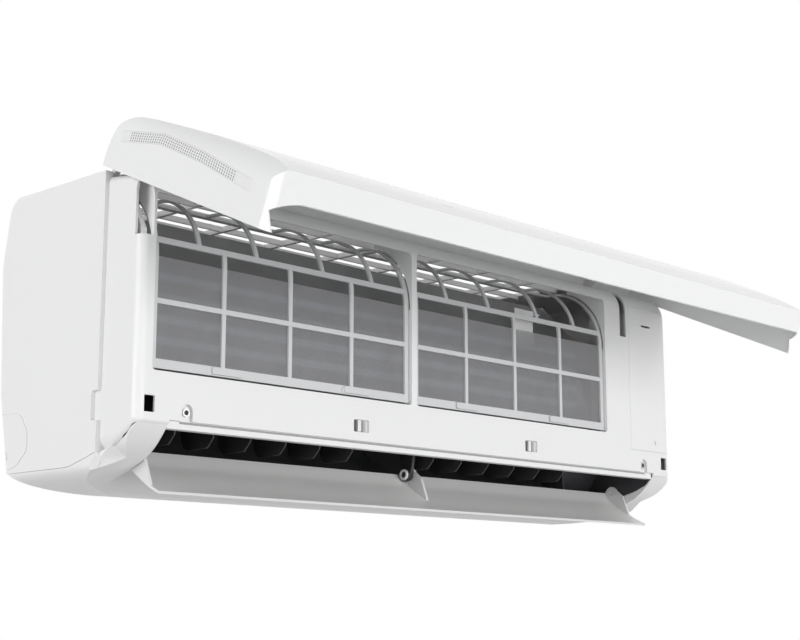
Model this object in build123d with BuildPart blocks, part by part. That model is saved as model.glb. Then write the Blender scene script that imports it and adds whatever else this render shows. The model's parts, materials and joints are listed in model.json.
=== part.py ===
from build123d import *
import os
from math import cos, hypot, radians, sin, sqrt

# Mini split indoor unit, shown serviced: the front panel swung up and the air flap hanging open.
# +X runs to the viewer's right, +Y into the wall, +Z up. The wall is the plane Y = 0, and the
# origin lies on it, midway along the unit and at half the casing's height.

# ---------------------------------------------------------------- driving sizes, mm
unit_width = 855.0  # over the two side walls
casing_depth = 235.0  # wall to the flat front of the casing
casing_top = 143.5  # top of the casing above the origin
casing_foot = -141.0  # foot of the side walls
skin = 2.6  # moulded casing wall
fit_gap = 0.3  # between pieces that only lie beside each other
turning_gap = 0.06  # radial clearance of a pin in its hole

cheek_start = 180.0  # from the wall, where the casing steps in for the panel's cheeks
cheek_step = 4.5  # how far it steps in at each side
corner_radius = 9.0  # upright front corners of the casing

opening_left = -406.0  # filter openings, seen from the front
opening_right = 288.0
opening_foot = -56.5
opening_head = 113.0
pillar_x = -59.0  # middle of the pillar between the two openings
pillar_width = 8.0

outlet_half = 385.0  # half the air outlet's width
outlet_head = -101.0  # lower edge of the casing's flat front
outlet_bar_height = 7.6
outlet_bar_setback = 4.0
outlet_bar_depth = 10.0

hinge_setback = 173.5  # panel hinge line from the wall
hinge_height = 137.3
panel_open_angle = 65.8  # as shown
panel_skin = 2.5
panel_corner = 24.0  # radius between the panel's face and its cheeks

flap_pivot_setback = 170.0
flap_pivot_height = -124.0
flap_open_angle = 53.0
flap_half = 384.0
flap_skin = 2.6
flap_pin_radius = 3.0

fan_setback = 118.0
fan_height = -22.0
fan_radius = 46.0
fan_left = -368.0
fan_right = 268.0
fan_blades = 26
fan_blade_skin = 1.6
fan_disc_skin = 2.4
fan_sections = 6
shaft_radius = 6.0

coil_left = -380.0
coil_right = 272.0
coil_thickness = 26.0
coil_tube_radius = 3.5

duct_skin = 2.5
partition_x = 296.0  # between the coil and the electrical side

front_y = -casing_depth
half_width = unit_width / 2
waist = half_width - cheek_step
hinge = (-hinge_setback, hinge_height)
flap_pivot = (-flap_pivot_setback, flap_pivot_height)
fan_centre = (-fan_setback, fan_height)
bar_front = front_y + outlet_bar_setback
bar_foot = outlet_head - outlet_bar_height


# ---------------------------------------------------------------- helpers
def across(x, pivot=(0.0, 0.0), turn=0.0):
    """Cross-section plane at x. Its own x runs toward the wall and its own y up, both turned
    about the line through pivot."""
    lean = radians(turn)
    return Plane(origin=(x, pivot[0], pivot[1]), x_dir=(0, cos(lean), sin(lean)), z_dir=(1, 0, 0))


def facing(y):
    """Upright plane at y that faces the room: its own x is the unit's, its own y is up."""
    return Plane.XZ.offset(-y)


def closed_panel(point):
    """A point of the closed panel's section, measured from the hinge line."""
    return (point[0] - hinge[0], point[1] - hinge[1])


def closed_flap(point):
    """A point of the closed flap's section, measured from its pivot."""
    return (point[0] - flap_pivot[0], point[1] - flap_pivot[1])


def finish(part, name):
    """Label a piece and write it."""
    part.label = name
    export_step(part, f"parts/{name}.step")


os.makedirs("parts", exist_ok=True)


# ---------------------------------------------------------------- casing
# lower edge of the sides, rising to the front
side_foot = [(front_y, -103.5), (-221, -116), (-205, -122.8), (-164, -134), (-135, casing_foot)]
side_foot_radii = [4, 20, 30, 60, 60]
casing_outline = [
    (-27, casing_foot),
    (-9, -60),
    (0, 75),
    (-13, casing_top),
    (-cheek_start, casing_top - 3),
    (-cheek_start, casing_top - 6.5),
    (front_y, casing_top - 14.5),
    *side_foot,
]
rear_corner = 20.0
front_corner = 28.0
back_opening = 118.0  # half height of the open back
corner_half = 424.0  # lower front corners, inside the closed panel's
corner_foot = -133.8
lower_corner = 24.5
notch_back = 170.0  # finger notch behind each cheek, from the wall
notch_foot = -100.0
notch_head = -72.0
knockout = [(-14, -81), (-46.8, -82), (-61, -100), (-63, -120), (-42, -135), (-24, -138)]
knockout_inner = [(-10, -115.2), (-21, -117), (-28.4, -123.5), (-24, -129.2), (-10, -130)]
score = 0.9  # width and depth of a scored line


def front_outline(inset):
    """Front view of the casing's stepped-in sides with their rounded lower corners."""
    half = corner_half - inset
    return FilletPolyline(
        (-half, corner_foot + inset),
        (half, corner_foot + inset),
        (half, casing_top + 20),
        (-half, casing_top + 20),
        radius=[lower_corner - inset, lower_corner - inset, 0, 0],
        close=True,
    )


with BuildPart() as front_cavity:
    with BuildSketch(across(-(waist - skin))):
        with BuildLine():
            FilletPolyline(
                (-cheek_start + skin + 1, casing_foot - 20),
                (-cheek_start + skin + 1, casing_top - 6.3 - skin),
                (front_y + skin, casing_top - 14.5 - skin),
                (front_y + skin, casing_foot - 20),
                radius=[0, 0, front_corner - skin, 0],
                close=True,
            )
        make_face()
    extrude(amount=2 * (waist - skin))
    fillet(front_cavity.edges().filter_by(Axis.Z).group_by(Axis.Y)[0], corner_radius - skin)
    with BuildSketch(facing(0)):
        with BuildLine():
            front_outline(skin)
        make_face()
    extrude(amount=2 * casing_depth, mode=Mode.INTERSECT)

with BuildPart() as casing_skin:
    with BuildSketch(across(-half_width)):
        with BuildLine():
            FilletPolyline(
                *casing_outline,
                radius=[0, 60, 40, rear_corner, 0, 0, front_corner, *side_foot_radii],
                close=True,
            )
        make_face()
    extrude(amount=unit_width)
    # the sides step in where the panel's cheeks lie beside them
    for side in (-1, 1):
        with BuildSketch(Plane.XY.offset(casing_foot)):
            with Locations((side * (waist + cheek_step), -cheek_start)):
                Rectangle(2 * cheek_step, casing_depth, align=(Align.CENTER, Align.MAX))
        extrude(amount=casing_top - casing_foot, mode=Mode.SUBTRACT)
    front_edges = casing_skin.edges().filter_by(Axis.Z).group_by(Axis.Y)[0]
    fillet(front_edges, corner_radius)
    with BuildSketch(facing(-cheek_start)):
        with Locations((0, corner_foot)):
            Rectangle(2 * unit_width, 120)
        with BuildLine():
            front_outline(0)
        make_face(mode=Mode.SUBTRACT)
    extrude(amount=casing_depth, mode=Mode.SUBTRACT)
    # hollow: one cavity between the sides, a narrower one between the stepped sides
    with BuildSketch(across(-(half_width - skin))):
        with BuildLine():
            FilletPolyline(
                (20, casing_foot - 20),
                (20, 60),
                (-skin, 75),
                (-13 - skin / 2, casing_top - skin),
                (-cheek_start + skin, casing_top - 3 - skin),
                (-cheek_start + skin, casing_foot - 20),
                radius=[0, 0, 0, rear_corner - skin, 0, 0],
                close=True,
            )
        make_face()
    extrude(amount=unit_width - 2 * skin, mode=Mode.SUBTRACT)
    add(front_cavity.part, mode=Mode.SUBTRACT)
    # finger notch behind each cheek, closed toward the inside
    for block_left, notch_left in ((-half_width + 1, -half_width - 1), (waist - skin, waist)):
        with BuildSketch(across(block_left)):
            with Locations((-notch_back + skin, (notch_foot + notch_head) / 2)):
                Rectangle(
                    cheek_start - notch_back + 1,
                    notch_head - notch_foot + 2 * skin,
                    align=(Align.MAX, Align.CENTER),
                )
        extrude(amount=cheek_step + skin - 1)
        with BuildSketch(across(notch_left)):
            with Locations((-notch_back, (notch_foot + notch_head) / 2)):
                RectangleRounded(
                    cheek_start - notch_back + 6,
                    notch_head - notch_foot,
                    3,
                    align=(Align.MAX, Align.CENTER),
                )
        extrude(amount=cheek_step + 1, mode=Mode.SUBTRACT)
    # scored knock-out for the pipes, low on the left side
    for line, bend in ((knockout, 12), (knockout_inner, 5)):
        with BuildSketch(across(-half_width - 1)):
            with BuildLine():
                FilletPolyline(*line, radius=bend)
            trace(line_width=score)
        extrude(amount=score + 1, mode=Mode.SUBTRACT)
    # open back
    with BuildSketch(facing(-12)):
        Rectangle(unit_width - 2 * skin, 2 * back_opening)
    extrude(amount=-40, mode=Mode.SUBTRACT)

cover_left = 338.5
cover_foot = -74.0
cover_head = 112.0
cover_depth = 26.0


def cover_region(gap):
    """Where the control cover replaces the casing's front, less a gap all round."""
    with BuildPart() as region:
        with BuildSketch(facing(front_y - 1)):
            with Locations((cover_left + gap, cover_foot + gap)):
                Rectangle(
                    unit_width, cover_head - cover_foot - 2 * gap, align=(Align.MIN, Align.MIN)
                )
        extrude(amount=-(cover_depth - gap + 1))
    return region.part


def above_foot(gap):
    """Everything above the lower edge of the casing's sides, less a gap below it."""
    with BuildPart() as region:
        with BuildSketch(across(-unit_width)):
            with BuildLine():
                FilletPolyline(
                    (20, casing_foot - gap),
                    (20, casing_top),
                    (front_y - 20, casing_top),
                    (front_y - 20, side_foot[0][1] - gap),
                    *[(y, z - gap) for y, z in side_foot],
                    radius=[0, 0, 0, 0, *side_foot_radii],
                    close=True,
                )
            make_face()
        extrude(amount=2 * unit_width)
    return region.part


slot_foot = 70.0  # hinge slots: from here up and over the casing's rounded top
left_slot = (-419.6, -408.8)
right_slot = (320.4, 333.4)
hinge_slots = (left_slot, right_slot)
slot_wrap = -424.0  # the left slot runs round the casing's upright corner
slot_wrap_depth = 10.0
slot_web = [
    (-233.4, 52),
    (-233.4, 69.5),
    (-226.5, 72),
    (-226.5, 77),
    (-211.5, 105.5),
    (-201.5, 117),
    (-194, 117),
    (-212, 60),
    (-224, 52),
]
slot_web_span = (-416.8, -411.0)
hinge_pin_radius = 2.0
hinge_ear = 3.2
hinge_slot_reach = 9.0  # how far the slots run behind the hinge line
hinge_ear_outline = [
    (-hinge_setback + 5.5, hinge_height + 1.6),
    (-hinge_setback - 6.4, hinge_height + 1.6),
    (-hinge_setback - 6.4, hinge_height - 6),
    (-hinge_setback, hinge_height - 9),
    (-hinge_setback + 5.5, hinge_height - 6),
]

pillar_left = pillar_x - pillar_width / 2
pillar_right = pillar_x + pillar_width / 2
clip_window_width = 22.0
clip_window_height = 13.0
clip_window_height_end = 15.5
clip_window_width_end = 11.8
clip_height = -85.5
clip_middle = 138.5  # inner pair of latches
clip_end = 407.9  # outer pair
latch_slot_end = -4.5  # of an inner window, from its middle
boss_x = 364.3
boss_arch = -91.5  # middle of the recess's round top
boss_height = -92.6
boss_radius = 8.5
boss_recess_radius = 6.5
boss_hole_radius = 2.2

filter_arc_radius = 77.0  # outer face of the filters where they bend over the coil
filter_face = -230.6
filter_skin = 2.6
filter_bend_height = 53.0
guide_reach = 3.5  # how far a channel reaches behind a filter's edge
guide_skin = 2.4
guide_face = filter_face + filter_skin + fit_gap
filter_end = -140.0  # the filters' upper ends
filter_running_gap = 1.4
filter_axis = (filter_face + filter_arc_radius, filter_bend_height)
grille_front = -175.5
grille_back = -32.0


def filter_path(grow, foot, end):
    """Line of a filter in section, moved out from its outer face by grow."""
    bend = filter_arc_radius + grow
    centre_y, centre_z = filter_axis
    with BuildLine() as path:
        Line((centre_y - bend, foot), (centre_y - bend, centre_z))
        CenterArc((centre_y, centre_z), bend, 180, -90)
        Line((centre_y, centre_z + bend), (end, centre_z + bend))
    return path.line


def guide_rib(left, width):
    """Web of the casing between its outer face and the filters' path."""
    with BuildPart() as rib:
        with BuildSketch(across(left)):
            with BuildLine():
                FilletPolyline(
                    (front_y + 0.4, opening_foot - 3),
                    (front_y + 0.4, casing_top - 15),
                    (-cheek_start + 4, casing_top - 7.5),
                    (-cheek_start + 4, opening_foot - 3),
                    radius=[0, front_corner, 0, 0],
                    close=True,
                )
            make_face()
            with BuildLine():
                add(filter_path(filter_running_gap, opening_foot - 10, 0))
                Line((0, filter_axis[1] + filter_arc_radius + filter_running_gap), (0, opening_foot - 10))
                Line(
                    (0, opening_foot - 10),
                    (filter_face - filter_running_gap, opening_foot - 10),
                )
            make_face(mode=Mode.SUBTRACT)
        extrude(amount=width)
    return rib.part


with BuildPart() as front_casing:
    add(casing_skin.part)
    # the flat front stops above the outlet, which runs between the end caps
    with BuildSketch(facing(front_y - 1)):
        with Locations((0, outlet_head)):
            Rectangle(2 * outlet_half, 100, align=(Align.CENTER, Align.MAX))
    extrude(amount=-60, mode=Mode.SUBTRACT)
    # a set-back bar closes the outlet's top edge
    with BuildSketch(across(-outlet_half)):
        with BuildLine():
            Polyline(
                (front_y + skin, outlet_head + 6),
                (front_y + skin, outlet_head),
                (bar_front, outlet_head - 0.8),
                (bar_front, bar_foot),
                (bar_front + outlet_bar_depth, bar_foot),
                (bar_front + outlet_bar_depth, bar_foot + 2.2),
                (bar_front + 2.4, bar_foot + 2.2),
                (bar_front + 2.4, outlet_head + 6),
                close=True,
            )
        make_face()
    extrude(amount=2 * outlet_half)
    # filter openings
    for left, right in ((opening_left, pillar_left), (pillar_right, opening_right)):
        with BuildSketch(facing(front_y - 1)):
            with Locations(((left + right) / 2, (opening_foot + opening_head) / 2)):
                RectangleRounded(right - left, opening_head - opening_foot, 4)
        extrude(amount=-40, mode=Mode.SUBTRACT)
    # webs at the openings' ends and the pillar follow the filters' curved path
    add(guide_rib(opening_left - 2, 2))
    add(guide_rib(opening_right, 2))
    add(guide_rib(pillar_left, pillar_width))
    # channels behind the filters' flat part, at the openings' ends and behind the pillar
    for left, right, foot_left, foot_right in (
        (opening_left - 2, opening_left, opening_left - 2, opening_left + guide_reach),
        (pillar_left, pillar_right, pillar_left - guide_reach, pillar_right + guide_reach),
        (opening_right, opening_right + 2, opening_right - guide_reach, opening_right + 2),
    ):
        with BuildSketch(Plane.XY.offset(opening_foot + 1)):
            with Locations((left, front_y + skin / 2)):
                Rectangle(
                    right - left,
                    guide_face + guide_skin - front_y - skin / 2,
                    align=(Align.MIN, Align.MIN),
                )
            with Locations((foot_left, guide_face)):
                Rectangle(foot_right - foot_left, guide_skin, align=(Align.MIN, Align.MIN))
        extrude(amount=filter_bend_height - 4 - opening_foot - 1)
    # intake opening in the top
    with BuildSketch(Plane.XY.offset(casing_top + 1)):
        with Locations(((opening_left + opening_right) / 2, (grille_front + grille_back) / 2)):
            Rectangle(opening_right - opening_left, grille_back - grille_front)
    extrude(amount=-12, mode=Mode.SUBTRACT)
    # hinge slots with an ear at each side, hung from the skin
    for left, right in hinge_slots:
        for ear_left in (left - hinge_ear, right):
            with BuildSketch(across(ear_left)):
                with BuildLine():
                    Polyline(*hinge_ear_outline, close=True)
                make_face()
            extrude(amount=hinge_ear)
        with BuildSketch(facing(front_y - 1)):
            with Locations(((left + right) / 2, slot_foot)):
                Rectangle(right - left, 100, align=(Align.CENTER, Align.MIN))
        extrude(amount=-(casing_depth + 1 - hinge_setback + hinge_slot_reach), mode=Mode.SUBTRACT)
        if left == left_slot[0]:
            with BuildSketch(facing(front_y - 1)):
                with Locations((slot_wrap, slot_foot)):
                    Rectangle(left - slot_wrap, 100, align=(Align.MIN, Align.MIN))
            extrude(amount=-(slot_wrap_depth + 1), mode=Mode.SUBTRACT)
        with BuildSketch(across(left - hinge_ear)):
            with Locations(hinge):
                Circle(hinge_pin_radius)
        extrude(amount=right - left + 2 * hinge_ear, mode=Mode.SUBTRACT)
    # web inside the left slot, below the arm's path
    with BuildSketch(across(slot_web_span[0])):
        with BuildLine():
            Polyline(*slot_web, close=True)
        make_face()
    extrude(amount=slot_web_span[1] - slot_web_span[0])
    # latch windows and the two screw bosses above the outlet
    with BuildSketch(facing(front_y - 1)):
        with Locations((-clip_middle, clip_height), (clip_middle, clip_height)):
            RectangleRounded(clip_window_width, clip_window_height, 1.5)
        with Locations((-clip_end, clip_height - 2.5), (clip_end, clip_height - 2.5)):
            Rectangle(clip_window_width_end, clip_window_height_end)
    extrude(amount=-8, mode=Mode.SUBTRACT)
    with BuildSketch(facing(front_y + 1.4)):
        with Locations((-boss_x, boss_arch), (boss_x, boss_arch)):
            Circle(boss_radius)
            Rectangle(2 * boss_radius, 8, align=(Align.CENTER, Align.MAX))
    extrude(amount=-5)
    with BuildSketch(facing(front_y - 1)):
        with Locations((-boss_x, boss_arch), (boss_x, boss_arch)):
            Circle(boss_recess_radius)
            Rectangle(2 * boss_recess_radius, 12, align=(Align.CENTER, Align.MAX))
    extrude(amount=-5, mode=Mode.SUBTRACT)
    with BuildSketch(facing(front_y - 1)):
        with Locations((-boss_x, boss_height), (boss_x, boss_height)):
            Circle(boss_hole_radius)
    extrude(amount=-12, mode=Mode.SUBTRACT)
    # the control cover takes the right end of the front
    add(cover_region(0), mode=Mode.SUBTRACT)

finish(front_casing.part, "front_casing")

with BuildPart() as control_cover:
    add(casing_skin.part)
    add(cover_region(fit_gap), mode=Mode.INTERSECT)
    # vent slot and two shallow recesses
    with BuildSketch(facing(front_y - 1)):
        with Locations((377.1, 89.3)):
            Rectangle(19.2, 2.6)
    extrude(amount=-skin - 2, mode=Mode.SUBTRACT)
    with BuildSketch(facing(front_y - 1)):
        with Locations((389.4, -62), (416.2, -53.9)):
            Circle(3)
    extrude(amount=-2.4, mode=Mode.SUBTRACT)

finish(control_cover.part, "control_cover")

# ---------------------------------------------------------------- intake grille
grille_slat = 3.0
grille_slat_ys = (-158.0, -126.0, -93.0, -61.0)
grille_rib = 4.5
grille_rib_start = -389.0
grille_rib_pitch = 87.0
grille_ribs = 8
grille_depth = 6.0
grille_ledge = 1.6
top_slope = Plane(
    origin=(0, -13, casing_top - skin), x_dir=(1, 0, 0), z_dir=(0, -3, cheek_start - 13)
)
grille_middle = (grille_front + grille_back) / 2 + 13
grille_width = opening_right - opening_left
grille_length = grille_back - grille_front

with BuildPart() as intake_grille:
    with BuildSketch(top_slope.offset(-0.05)):
        with Locations(((opening_left + opening_right) / 2, grille_middle)):
            Rectangle(grille_width + 2 * grille_ledge, grille_length + 2 * grille_ledge)
            Rectangle(grille_width - 4, grille_length - 4, mode=Mode.SUBTRACT)
    extrude(amount=-2)
    with BuildSketch(top_slope.offset(-0.05)):
        for y in grille_slat_ys:
            with Locations(((opening_left + opening_right) / 2, y + 13)):
                Rectangle(grille_width, grille_slat)
        for step in range(grille_ribs):
            with Locations((grille_rib_start + step * grille_rib_pitch, grille_middle)):
                Rectangle(grille_rib, grille_length)
    extrude(amount=-grille_depth)
    # clear of the left hinge's inner ear
    with BuildSketch(Plane.XY.offset(casing_top - 20)):
        with Locations((left_slot[1] + hinge_ear + fit_gap, -hinge_setback + 6)):
            Rectangle(10, 20, align=(Align.MAX, Align.MAX))
    extrude(amount=30, mode=Mode.SUBTRACT)

finish(intake_grille.part, "intake_grille")


# ---------------------------------------------------------------- filters
filter_rail = 6.0
filter_bar = 4.6
filter_foot = -53.8
filter_sill = 9.0
filter_top_bar = (66.0, 72.0)
filter_mid_bar = (7.5, 12.5)
filter_columns = 4
filter_ribs = (55.5, 127.3, 216.5, 288.0)  # of the open bend, from a filter's left end
filter_side_gap = 0.6
filter_tab_width = 28.0
mesh_skin = 0.4


def filter_frame(left, right):
    """Curved filter frame with four by two windows and open ribs above them."""
    pitch = (right - left) / filter_columns
    outer = filter_arc_radius
    inner = filter_arc_radius - filter_skin
    centre_y, centre_z = filter_axis
    with BuildPart() as frame:
        with BuildSketch(across(left)):
            with BuildLine():
                Line((centre_y - outer, filter_foot), (centre_y - outer, centre_z))
                CenterArc((centre_y, centre_z), outer, 180, -90)
                Line((centre_y, centre_z + outer), (filter_end, centre_z + outer))
                Line((filter_end, centre_z + outer), (filter_end, centre_z + inner))
                Line((filter_end, centre_z + inner), (centre_y, centre_z + inner))
                CenterArc((centre_y, centre_z), inner, 90, 90)
                Line((centre_y - inner, centre_z), (centre_y - inner, filter_foot))
                Line((centre_y - inner, filter_foot), (centre_y - outer, filter_foot))
            make_face()
        extrude(amount=right - left)
        # windows of the flat part
        rows = (
            (filter_foot + filter_sill, filter_mid_bar[0]),
            (filter_mid_bar[1], filter_top_bar[0]),
        )
        with BuildSketch(facing(front_y)):
            for low, high in rows:
                for column in range(filter_columns):
                    start = left + column * pitch + (filter_rail if column == 0 else filter_bar / 2)
                    last = column == filter_columns - 1
                    end = left + (column + 1) * pitch - (filter_rail if last else filter_bar / 2)
                    with Locations(((start + end) / 2, (low + high) / 2)):
                        Rectangle(end - start, high - low)
        extrude(amount=-40, mode=Mode.SUBTRACT)
        # the bend keeps four ribs
        starts = [left + filter_rail] + [left + at + filter_bar / 2 for at in filter_ribs]
        ends = [left + at - filter_bar / 2 for at in filter_ribs] + [right - filter_rail]
        with BuildSketch(facing(front_y)):
            for start, end in zip(starts, ends):
                with Locations(((start + end) / 2, filter_top_bar[1])):
                    Rectangle(end - start, 100, align=(Align.CENTER, Align.MIN))
        extrude(amount=-(filter_end - 8 - front_y), mode=Mode.SUBTRACT)
        # two pull tabs on the sill
        for column in (1, 3):
            with BuildSketch(facing(filter_face)):
                with Locations((left + column * pitch, filter_foot + 4)):
                    Rectangle(filter_tab_width, 5.4)
            extrude(amount=1.0)
    return frame.part


def filter_mesh(left, right):
    """Fine net carried on the back of the frame's flat part."""
    with BuildPart() as net:
        with BuildSketch(facing(filter_face + filter_skin)):
            with Locations(((left + right) / 2, (filter_foot + 2 + filter_bend_height) / 2)):
                Rectangle(right - left - 10, filter_bend_height - filter_foot - 2)
        extrude(amount=-mesh_skin)
    return net.part


filter_spans = {
    "left": (opening_left + filter_side_gap, pillar_left - filter_side_gap),
    "right": (pillar_right + filter_side_gap, opening_right - filter_side_gap),
}
for side, (left, right) in filter_spans.items():
    finish(filter_frame(left, right), f"filter_frame_{side}")
    finish(filter_mesh(left, right), f"filter_mesh_{side}")


# ---------------------------------------------------------------- coil
coil_face = -201.0
coil_foot = -62.0
coil_bend = 56.0
upper_coil_length = 76.0
rear_coil_top = (-104.0, 108.0)
rear_coil_length = 78.0
slab_gap = 0.3
slope = sqrt(0.5)


def fin_pack(points):
    """Finned block of the coil from its cross-section."""
    with BuildPart() as pack:
        with BuildSketch(across(coil_left)):
            with BuildLine():
                Polyline(*points, close=True)
            make_face()
        extrude(amount=coil_right - coil_left)
    return pack.part


mitre = coil_thickness * (sqrt(2) - 1)
coil_back = coil_face + coil_thickness
front_slab = [
    (coil_face, coil_foot),
    (coil_face, coil_bend),
    (coil_back, coil_bend - mitre),
    (coil_back, coil_foot),
]
reach = upper_coil_length * slope
depth = coil_thickness * slope
upper_slab = [
    (coil_face, coil_bend + slab_gap),
    (coil_face + reach, coil_bend + slab_gap + reach),
    (coil_face + reach + depth, coil_bend + slab_gap + reach - depth),
    (coil_back, coil_bend + slab_gap - mitre),
]
rear_reach = rear_coil_length * slope
rear_slab = [
    rear_coil_top,
    (rear_coil_top[0] + rear_reach, rear_coil_top[1] - rear_reach),
    (rear_coil_top[0] + rear_reach - depth, rear_coil_top[1] - rear_reach - depth),
    (rear_coil_top[0] - depth, rear_coil_top[1] - depth),
]
finish(fin_pack(front_slab), "coil_front")
finish(fin_pack(upper_slab), "coil_upper")
finish(fin_pack(rear_slab), "coil_rear")

tube_pitch = 21.0
tube_rows = (0.27, 0.73)  # across the slab's thickness
end_plate_skin = 1.2
end_plate_rim = 1.0


def slab_tubes(start, direction, length):
    """Pairs of tube centres that a return bend joins, in two rows through a slab."""
    normal = (direction[1], -direction[0])
    pairs = []
    for row, share in enumerate(tube_rows):
        inset = coil_thickness * share
        steps = int((length - 12) // tube_pitch)
        centres = []
        for step in range(steps):
            along = 12 + (step + row / 2) * tube_pitch
            centres.append(
                (
                    start[0] + direction[0] * along + normal[0] * inset,
                    start[1] + direction[1] * along + normal[1] * inset,
                )
            )
        pairs += list(zip(centres[0::2], centres[1::2]))
    return pairs


coil_slabs = (
    ((coil_face, coil_foot), (0.0, 1.0), coil_bend - coil_foot),
    ((coil_face, coil_bend), (slope, slope), upper_coil_length),
    (rear_slab[2], (-slope, slope), rear_coil_length),
)
coil_pairs = [pair for slab in coil_slabs for pair in slab_tubes(*slab)]


def end_plate_outline(grow):
    """Outline of the sheet that carries the coil's three slabs at an end."""
    return [
        (coil_face - grow, coil_foot - grow),
        (coil_face - grow, coil_bend + grow / 2),
        (coil_face + reach, coil_bend + reach + 2 * grow),
        (rear_coil_top[0], rear_coil_top[1] + 2 * grow),
        (rear_coil_top[0] + rear_reach + 2 * grow, rear_coil_top[1] - rear_reach),
        (rear_coil_top[0] + rear_reach - depth, rear_coil_top[1] - rear_reach - depth - 2 * grow),
        (rear_coil_top[0] - depth, rear_coil_top[1] - depth - 2 * grow),
        (coil_face + reach + depth, coil_bend + reach - depth - 2 * grow),
        (coil_back + grow, coil_bend - mitre),
        (coil_back + grow, coil_foot - grow),
    ]


with BuildPart() as coil_end_plates:
    for plate_left in (coil_left - end_plate_skin, coil_right):
        with BuildSketch(across(plate_left)):
            with BuildLine():
                Polyline(*end_plate_outline(end_plate_rim), close=True)
            make_face()
            with Locations(*[centre for pair in coil_pairs for centre in pair]):
                Circle(coil_tube_radius, mode=Mode.SUBTRACT)
        extrude(amount=end_plate_skin)
    # folded arm that is screwed to the partition
    with BuildSketch(across(coil_right)):
        with Locations(((coil_back - 140) / 2, 18)):
            Rectangle(-140 - coil_back, 20)
    extrude(amount=end_plate_skin)
    with BuildSketch(facing(-140 - end_plate_skin)):
        with Locations((coil_right, 18)):
            Rectangle(partition_x - coil_right, 20, align=(Align.MIN, Align.CENTER))
    extrude(amount=-end_plate_skin)

finish(coil_end_plates.part, "coil_end_plates")

# hairpin tubes: straight through the end plates, joined by half rings outside them
bend_reach = 5.0
with BuildPart() as coil_bends:
    for end_x, outward in ((coil_left - end_plate_skin, -1), (coil_right + end_plate_skin, 1)):
        for first, second in coil_pairs:
            span = sqrt((second[0] - first[0]) ** 2 + (second[1] - first[1]) ** 2)
            side = ((second[0] - first[0]) / span, (second[1] - first[1]) / span)
            for centre in (first, second):
                with BuildSketch(across(end_x - outward * end_plate_skin)):
                    with Locations(centre):
                        Circle(coil_tube_radius)
                extrude(amount=outward * (end_plate_skin + bend_reach))
            middle = ((first[0] + second[0]) / 2, (first[1] + second[1]) / 2)
            axle = Plane(
                origin=(end_x + outward * bend_reach, middle[0], middle[1]),
                x_dir=(0, side[0], side[1]),
                z_dir=(outward, 0, 0),
            )
            with BuildSketch(axle):
                with Locations((span / 2, 0)):
                    Circle(coil_tube_radius)
            revolve(axis=Axis(axle.origin, axle.y_dir), revolution_arc=-180)
finish(coil_bends.part, "coil_return_bends")


# ---------------------------------------------------------------- chassis
wall_line = ((-8.0, 112.0), (-30.0, -135.0))  # rear face of the chassis' back wall
chassis_half = half_width - skin - fit_gap
end_wall_x = outlet_half + 0.4
end_wall_skin = 2.6
bearing_radius = 14.0
scroll_points = [(-44, 30), (-58, -20), (-76, -72), (-116, -112), (-157, -133)]
hook_xs = (-250.0, 0.0, 250.0)
hook_height = 90.0
hook_half = 12.0
plate_skin = 1.2
motor_radius = 38.0
motor_left = 300.0
motor_right = 360.0


def wall_depth(height):
    """Rear face of the leaning back wall at a height."""
    (top_y, top_z), (foot_y, foot_z) = wall_line
    return foot_y + (top_y - foot_y) * (height - foot_z) / (top_z - foot_z)


def on_wall(height):
    """Middle of the back wall's thickness at a height."""
    return (wall_depth(height) - duct_skin / 2, height)


end_wall_outline = [
    on_wall(30),
    (-60, 30),
    (-100, 42),
    (-140, 42),
    (-171, 12),
    (-171, -66),
    (-226, -66),
    (-226, -106),
    (-219, -115.5),
    (-205, -122),
    (-164, -133.2),
    (-140, -139),
    (-45, -139),
    on_wall(-135),
    on_wall(-50),
]
partition_outline = [
    on_wall(30),
    (-60, 34),
    (-100, 42),
    (-140, 42),
    (-156, 12),
    (-156, -112),
    (-158, -133),
    (-150, -139),
    (-45, -139),
    on_wall(-135),
    on_wall(-50),
]
rib_outline = [
    on_wall(60),
    (-43, 30),
    (-57, -20),
    (-75, -72),
    (-115.5, -112),
    (-140, -126),
    (-120, -136),
    (-45, -139),
    on_wall(-135),
    on_wall(-50),
]

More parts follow.
